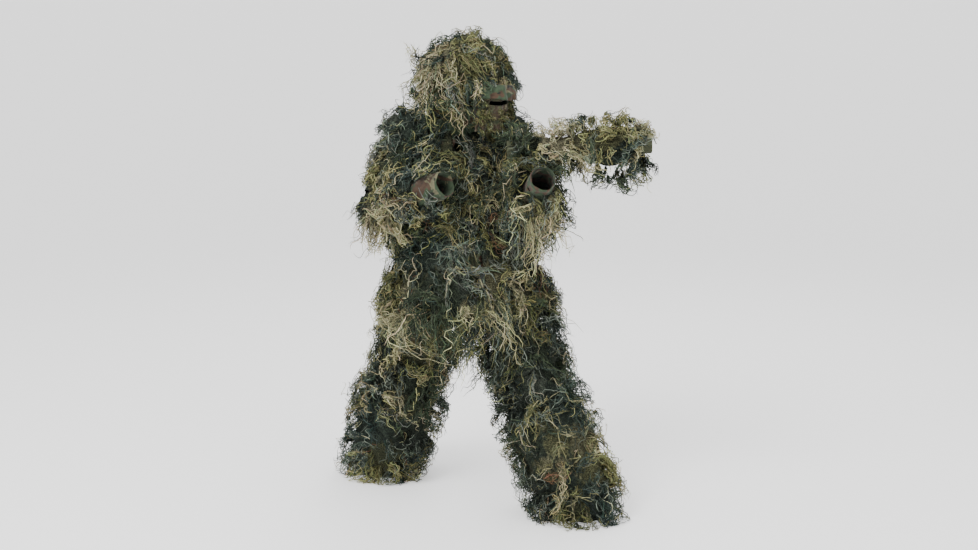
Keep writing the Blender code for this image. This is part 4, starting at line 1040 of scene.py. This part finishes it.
def soft_copy(node, material, cuts=0.012, smoothing=4, crease=0.0025, crease_scale=0.06, seed=1):
    """A cloth piece in the place of a CAD panel: finer, rounder and creased."""
    shape = bmesh.new()
    shape.from_mesh(frame["nodes"][node].data)
    bmesh.ops.remove_doubles(shape, verts=shape.verts, dist=1e-5)
    for _ in range(5):
        long_edges = [edge for edge in shape.edges if edge.calc_length() > cuts * 1.6]
        if not long_edges or len(shape.verts) > 24000:
            break
        bmesh.ops.subdivide_edges(shape, edges=long_edges, cuts=1, use_grid_fill=False)
        bmesh.ops.triangulate(shape, faces=[f for f in shape.faces if len(f.verts) > 4])
    for _ in range(smoothing):
        bmesh.ops.smooth_vert(shape, verts=shape.verts, factor=0.5, use_axis_x=True,
                              use_axis_y=True, use_axis_z=True)
    mesh = bpy.data.meshes.new(node + "_cloth")
    shape.to_mesh(mesh)
    shape.free()
    co = np.zeros(len(mesh.vertices) * 3, np.float32)
    mesh.vertices.foreach_get("co", co)
    co = co.reshape(-1, 3).astype(float)
    co += smooth_noise(co, crease_scale, seed) * crease
    co[:, 2] = np.maximum(co[:, 2], GROUND + 0.001)
    mesh.vertices.foreach_set("co", co.ravel().astype(np.float32))
    mesh.shade_smooth()
    piece = placed(node + "_cloth", mesh)
    mesh.materials.append(material)
    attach(piece, BODY_OF[node])
    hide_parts(node)
    return piece


def rounded_path(points, count, pull=0.35):
    """A smooth line through corner points, rounded at each inner corner."""
    line = [np.array(points[0], float)]
    for before, corner, after in zip(points, points[1:], points[2:]):
        near = corner + (before - corner) * pull
        far = corner + (after - corner) * pull
        for share in np.linspace(0.0, 1.0, 14):
            line.append((1 - share) ** 2 * near + 2 * share * (1 - share) * corner
                        + share ** 2 * far)
    line.append(np.array(points[-1], float))
    line = np.array(line)
    along = np.concatenate([[0.0], np.cumsum(np.linalg.norm(np.diff(line, axis=0), axis=1))])
    stops = np.linspace(0.0, along[-1], count)
    return np.stack([np.interp(stops, along, line[:, i]) for i in range(3)], axis=1), along[-1]


def shell_from_rows(name, rows, thick, closed, material, gaps=()):
    """A cloth shell of even thickness from a grid of points, one cloth layer deep."""
    shape = bmesh.new()
    grid = [[shape.verts.new(point) for point in row] for row in rows]
    across = len(rows[0])
    for i in range(len(rows) - 1):
        for j in range(across if closed else across - 1):
            if (i, j) in gaps:
                continue
            k = (j + 1) % across
            shape.faces.new((grid[i][j], grid[i][k], grid[i + 1][k], grid[i + 1][j]))
    loose = [vert for vert in shape.verts if not vert.link_faces]
    bmesh.ops.delete(shape, geom=loose, context="VERTS")
    mesh = bpy.data.meshes.new(name)
    shape.to_mesh(mesh)
    shape.free()
    piece = placed(name, mesh)
    layer = piece.modifiers.new("thickness", "SOLIDIFY")
    layer.thickness = thick
    layer.offset = -1.0
    finer = piece.modifiers.new("finer", "SUBSURF")
    finer.levels = finer.render_levels = 1
    solid = bpy.data.meshes.new_from_object(
        piece.evaluated_get(bpy.context.evaluated_depsgraph_get()))
    piece.modifiers.clear()
    piece.data = solid
    solid.name = name
    solid.shade_smooth()
    solid.materials.clear()
    solid.materials.append(material)
    return piece


def tube_rows(path, radii, sides, folds, seed, hems=()):
    """Rings round a path, with creases that run across it where it bends and along it elsewhere."""
    ahead = np.gradient(path, axis=0)
    ahead /= lengths_of(ahead)
    upright = abs(ahead[0][2]) > 0.9
    side = np.cross(ahead[0], [0.0, 1.0, 0.0] if upright else [0.0, 0.0, 1.0])
    side /= lengths_of(side)
    bend = np.linalg.norm(np.gradient(ahead, axis=0), axis=1)
    bend = bend / max(bend.max(), 1e-6)
    rng = np.random.default_rng(seed)
    phase = rng.uniform(0.0, 2 * math.pi, 8)
    turn = np.linspace(0.0, 2 * math.pi, sides, endpoint=False)
    shares = np.linspace(0.0, 1.0, len(path))
    around = np.interp(shares, np.linspace(0.0, 1.0, len(radii)), radii)
    rows = []
    for index, centre in enumerate(path):
        side = side - ahead[index] * (side @ ahead[index])
        side /= lengths_of(side)
        deep = np.cross(ahead[index], side)
        run = index / len(path)
        ripple = 0.55 * np.sin(turn * 5 + phase[0] + 3.0 * run)
        ripple = ripple + 0.35 * np.sin(turn * 8 + phase[1] - 5.0 * run)
        ripple = ripple + 0.30 * np.sin(turn * 3 + phase[2] + 26 * run)
        ripple = ripple + bend[index] * 1.3 * np.sin(62 * run + 1.6 * np.sin(turn + phase[3]))
        ripple = ripple + 0.4 * np.sin(34 * run + 2 * np.sin(turn * 2 + phase[4]) + phase[5])
        pinch = 1.0
        for place, depth, width in hems:
            pinch -= depth * math.exp(-((run - place) / width) ** 2)
        size = around[index] * pinch + folds * ripple
        rows.append(centre + (np.cos(turn) * size)[:, None] * side
                    + (np.sin(turn) * size)[:, None] * deep)
    return rows


def cloth_tube(name, corners, radii, material, nodes, body, blend_to=None, folds=0.0022,
               seed=1, pull=0.35, hems=(), sides=44, thick=0.0022, strap=False):
    """A sleeve or leg through its corner points."""
    corners = [np.array(c) for c in corners]
    reach = sum(np.linalg.norm(b - a) for a, b in zip(corners, corners[1:]))
    path, length = rounded_path(corners, max(6, int(reach / 0.009)), pull)
    rows = tube_rows(path, radii, sides, folds, seed, hems)
    for row in rows:
        row[:, 2] = np.maximum(row[:, 2], GROUND + 0.002)
    piece = shell_from_rows(name, rows, thick, True, material)
    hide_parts(*nodes)
    if blend_to:
        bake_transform(piece)
    else:
        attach(piece, body)
    if strap:
        return piece
    return piece


def towards(start, end, share):
    """A point part of the way from one to another."""
    return start + (end - start) * share


def make_arms_and_legs(materials):
    """Sleeves, cuffs and trouser legs, each one cloth that runs on past its joint."""
    woodland, tape = materials["woodland_cloth"], materials["webbing"]
    for index, side in enumerate(("right", "left")):
        shoulder, elbow = joint_at(f"{side}_shoulder"), joint_at(f"{side}_elbow")
        wrist = middle_of(f"{side}_cuff")
        reach = (wrist - elbow) / np.linalg.norm(wrist - elbow)
        wrist = wrist - reach * 0.022
        yoke = shoulder + np.array([-shoulder[0] * 0.45, 0.01, 0.035])
        crook = towards(elbow, shoulder, 0.35)
        cloth_tube(f"{side}_upper_sleeve_cloth", (yoke, shoulder, towards(shoulder, elbow, 0.72)),
                   (0.062, 0.074, 0.074, 0.071, 0.069), woodland, [f"{side}_upper_sleeve"], "suit",
                   (f"{side}_upper_arm", shoulder, towards(shoulder, elbow, 0.30)),
                   seed=200 + index, folds=0.0026)
        cloth_tube(f"{side}_forearm_cloth", (towards(shoulder, elbow, 0.62), elbow, wrist),
                   (0.066, 0.069, 0.068, 0.064, 0.058, 0.052, 0.048), woodland,
                   [f"{side}_forearm_sleeve"], f"{side}_upper_arm",
                   (f"{side}_forearm", crook, towards(elbow, wrist, 0.3)), seed=210 + index,
                   folds=0.0036, hems=((1.0, 0.05, 0.02),))
        cloth_tube(f"{side}_cuff_cloth", (wrist - reach * 0.006, wrist + reach * 0.046),
                   (0.0470, 0.0480, 0.0465), woodland, [f"{side}_cuff"], f"{side}_forearm",
                   folds=0.0021, seed=220 + index, hems=((0.45, 0.09, 0.10), (0.80, 0.09, 0.07)),
                   thick=0.003, sides=72)
        hip, knee = joint_at(f"{side}_hip"), joint_at(f"{side}_knee")
        band = middle_of(f"{side}_hem_band")
        cloth_tube(f"{side}_thigh_cloth", (towards(hip, knee, 0.05), towards(hip, knee, 0.70)),
                   (0.103, 0.104, 0.102, 0.098), woodland, [f"{side}_thigh"], f"{side}_thigh",
                   folds=0.0030, seed=230 + index, sides=52)
        upright = band + np.array([0.0, 0.0, 0.075])
        cloth_tube(f"{side}_shin_cloth", (towards(hip, knee, 0.60), knee, upright, band),
                   (0.097, 0.096, 0.095, 0.097, 0.097, 0.093), woodland, [f"{side}_shin"],
                   f"{side}_thigh",
                   (f"{side}_shin", towards(hip, knee, 0.82), towards(knee, band, 0.25)),
                   folds=0.0030, seed=240 + index, sides=52)
        ring = np.array([0.0, 0.0, 0.014])
        cloth_tube(f"{side}_hem_band_tape", (band + ring, band - ring), (0.093, 0.094, 0.093), tape,
                   [f"{side}_hem_band"], f"{side}_shin", folds=0.0012, seed=250 + index,
                   hems=((0.5, 0.012, 0.3),), sides=60, strap=True)


def make_wrap(materials):
    """The wrap's sleeve, with gathered elastic at each end."""
    rear, front = middle_of("wrap_band_rear"), middle_of("wrap_band_front")
    along = (front - rear) / np.linalg.norm(front - rear)
    cloth_tube("wrap_sleeve_cloth", (rear - along * 0.014, front + along * 0.014),
               (0.0290,) * 5, materials["woodland_cloth"], ["wrap_sleeve"], "wrap", folds=0.0010,
               seed=260, hems=((0.03, 0.06, 0.03), (0.97, 0.06, 0.03)), sides=36, thick=0.002)
    for index, (end, place) in enumerate((("rear", rear), ("front", front))):
        cloth_tube(f"wrap_band_{end}_tape", (place - along * 0.019, place + along * 0.019),
                   (0.0315, 0.0325, 0.0315), materials["webbing"], [f"wrap_band_{end}"], "wrap",
                   folds=0.0007, seed=262 + index, sides=44, thick=0.0016, strap=True)


def head_frame():
    """Across and forward of the hood, and the middle of its ring."""
    sideways = np.array([math.cos(HEAD_YAW), math.sin(HEAD_YAW), 0.0])
    forward = np.array([math.sin(HEAD_YAW), -math.cos(HEAD_YAW), 0.0])
    return sideways, forward, np.array([*HOOD_MIDDLE, 0.0])


def make_brim(materials):
    """A short brim of doubled cloth that droops a little at its edge."""
    sideways, forward, middle = head_frame()
    rows = []
    for step in range(9):
        out = step / 8
        angles = np.radians(np.linspace(-128, -52, 34))
        sag = 0.004 * out ** 2
        ripple = 0.0022 * out * np.sin(angles * 19) + 0.0014 * out * np.sin(angles * 31 + 1.0)
        wide = 0.134 + 0.052 * out * 0.35
        deep = 0.147 + 0.060 * out
        flat = (np.cos(angles) * wide)[:, None] * sideways
        flat = flat - (np.sin(angles) * deep)[:, None] * forward
        rise = GROUND + 1.5565 - 0.006 * out - sag + ripple
        rows.append(middle + flat + rise[:, None] * np.array([0.0, 0.0, 1.0]))
    piece = shell_from_rows("hood_brim_cloth", rows, 0.0036, False, materials["brown_cloth"])
    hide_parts("hood_brim")
    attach(piece, "hood")


def make_veil(materials):
    """The veil: cloth hung from the brim in soft folds, with a slot to look through."""
    sideways, forward, _ = head_frame()
    hinge = joint_at("veil_lift")
    across, down = 46, 34
    rows, gaps = [], set()
    for i in range(down + 1):
        drop = i / down
        row = []
        for j in range(across + 1):
            s = (j / across - 0.5) * 2
            deepen = 0.3 + 0.7 * drop
            fold = 0.0060 * deepen * math.sin(s * 8.5 + 0.8 + 1.6 * drop)
            fold += 0.0036 * deepen * math.sin(s * 15 + 2.1 - 2.5 * drop)
            fold += 0.0022 * math.sin(drop * 15 + s * 4.0)
            bow = -0.034 * s * s + fold - 0.010 * drop
            droop = -0.152 * drop - 0.006 * drop * math.cos(s * 5.0) + 0.003 * s * drop
            point = hinge + sideways * (s * VEIL_HALF_WIDTH * (1 + 0.02 * math.sin(drop * 7)))
            row.append(point + forward * bow + np.array([0.0, 0.0, droop - 0.002]))
            if 0.31 < drop < 0.40 and abs(s) < 0.52:
                gaps.add((i, j))
        rows.append(row)
    piece = shell_from_rows("face_veil_cloth", rows, 0.0016, False, materials["brown_cloth"], gaps)
    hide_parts("face_veil")
    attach(piece, "veil")


def make_valance(materials):
    """The printed flap over the top of the veil, turned up at its edge and hung in soft folds."""
    sideways, forward, _ = head_frame()
    hinge = joint_at("veil_lift")
    rows = []
    for drop in np.linspace(0.0, 1.0, 15):
        s = np.linspace(-1.0, 1.0, 52)
        fold = (0.2 + 0.8 * drop) * (0.0060 * np.sin(s * 7.5 + 2.0) + 0.0034 * np.sin(s * 17 + 0.6))
        fold = fold + 0.0024 * np.sin(drop * 8 + s * 5)
        bow = -0.034 * s * s + fold + 0.008 + 0.012 * math.sin(drop * 1.5)
        if drop > 0.9:
            bow = bow + 0.0015
        fall = -0.050 * drop - 0.004 * drop * np.sin(s * 3.0 + 0.5) + 0.004
        points = hinge + (s * 0.082)[:, None] * sideways + bow[:, None] * forward
        points[:, 2] += fall
        rows.append(points)
    piece = shell_from_rows("veil_valance_cloth", rows, 0.0024, False, materials["woodland_cloth"])
    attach(piece, "veil")


def make_skirt(materials):
    """The hood's neck skirt: cloth that joins the hood to the jacket's shoulders."""
    shapes = make_shapes()
    jacket, hood = shapes["jacket"], shapes["hood"]
    turn = np.linspace(0.0, 2 * math.pi, 60, endpoint=False)
    low_z, high_z = GROUND + 1.375, GROUND + 1.475
    low_middle, low_wide, low_deep = jacket.section(np.array([low_z]))
    high_middle, high_wide, high_deep = hood.section(np.array([high_z]))
    rows = []
    for share in np.linspace(0.0, 1.0, 14):
        middle = towards(low_middle[0], high_middle[0], share)
        fold = 0.004 * np.sin(turn * 9 + 4 * share) + 0.003 * np.sin(turn * 14 + 1.0 - 3 * share)
        sag = 0.012 * math.sin(math.pi * share)
        wide = towards(low_wide[0] - 0.006, high_wide[0] - 0.012, share) - sag + fold
        deep = towards(low_deep[0] - 0.006, high_deep[0] - 0.012, share) - sag + fold
        yaw = towards(TORSO_YAW, HEAD_YAW, share)
        side = np.array([math.cos(yaw), math.sin(yaw)])
        back = np.array([-math.sin(yaw), math.cos(yaw)])
        flat = middle + (np.cos(turn) * wide)[:, None] * side
        flat = flat + (np.sin(turn) * deep)[:, None] * back
        rows.append(np.column_stack([flat, np.full(len(turn), towards(low_z, high_z, share))]))
    piece = shell_from_rows("hood_skirt_cloth", rows, 0.002, True, materials["woodland_cloth"])
    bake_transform(piece)


def make_cloth(materials):
    """Every cloth panel of the suit."""
    woodland = [n for n in frame["nodes"] if n.startswith("jacket_") and "threads" not in n]
    woodland += ["collar", "hood", "trouser_seat"]
    for index, node in enumerate(sorted(woodland)):
        soft_copy(node, materials["woodland_cloth"], seed=10 + index)
    soft_copy("waistband", materials["webbing"], cuts=0.008, smoothing=1, crease=0.001,
              crease_scale=0.03, seed=70)
    make_arms_and_legs(materials)
    make_wrap(materials)
    make_brim(materials)
    make_veil(materials)
    make_valance(materials)
    make_skirt(materials)


def make_hardware(materials):
    """Zip and snaps keep their CAD shape and get their materials."""
    looks = {"zip_tape_right": "webbing", "zip_tape_left": "webbing", "zip_chain": "zip_teeth",
             "zip_stop": "dark_metal", "zip_slider": "dark_metal", "zip_pull": "dark_metal",
             "veil_snap_right": "dark_metal", "veil_snap_left": "dark_metal"}
    for node, look in looks.items():
        item = frame["nodes"][node]
        item.data.materials.clear()
        item.data.materials.append(materials[look])


def main():
    """Build the scene."""
    make_stage()
    materials = {"woodland_cloth": woodland_cloth(), "brown_cloth": brown_cloth(),
                 "webbing": webbing(), "zip_teeth": zip_teeth(), "dark_metal": dark_metal(),
                 "threads": thread_material(), "mat": mat_material()}
    make_cloth(materials)
    make_hardware(materials)
    shapes = make_shapes()
    for index, region in enumerate(regions(shapes)):
        grow_region(region, shapes, materials["threads"], 100 + index)
        for node in region["nodes"]:
            thin = node in ("hood_threads", "wrap_threads")
            depth = THIN_MAT_DEPTH if thin else MAT_DEPTH
            matted_layer(node, depth, shapes, region["own"][:1], materials["mat"], 300 + index)


main()
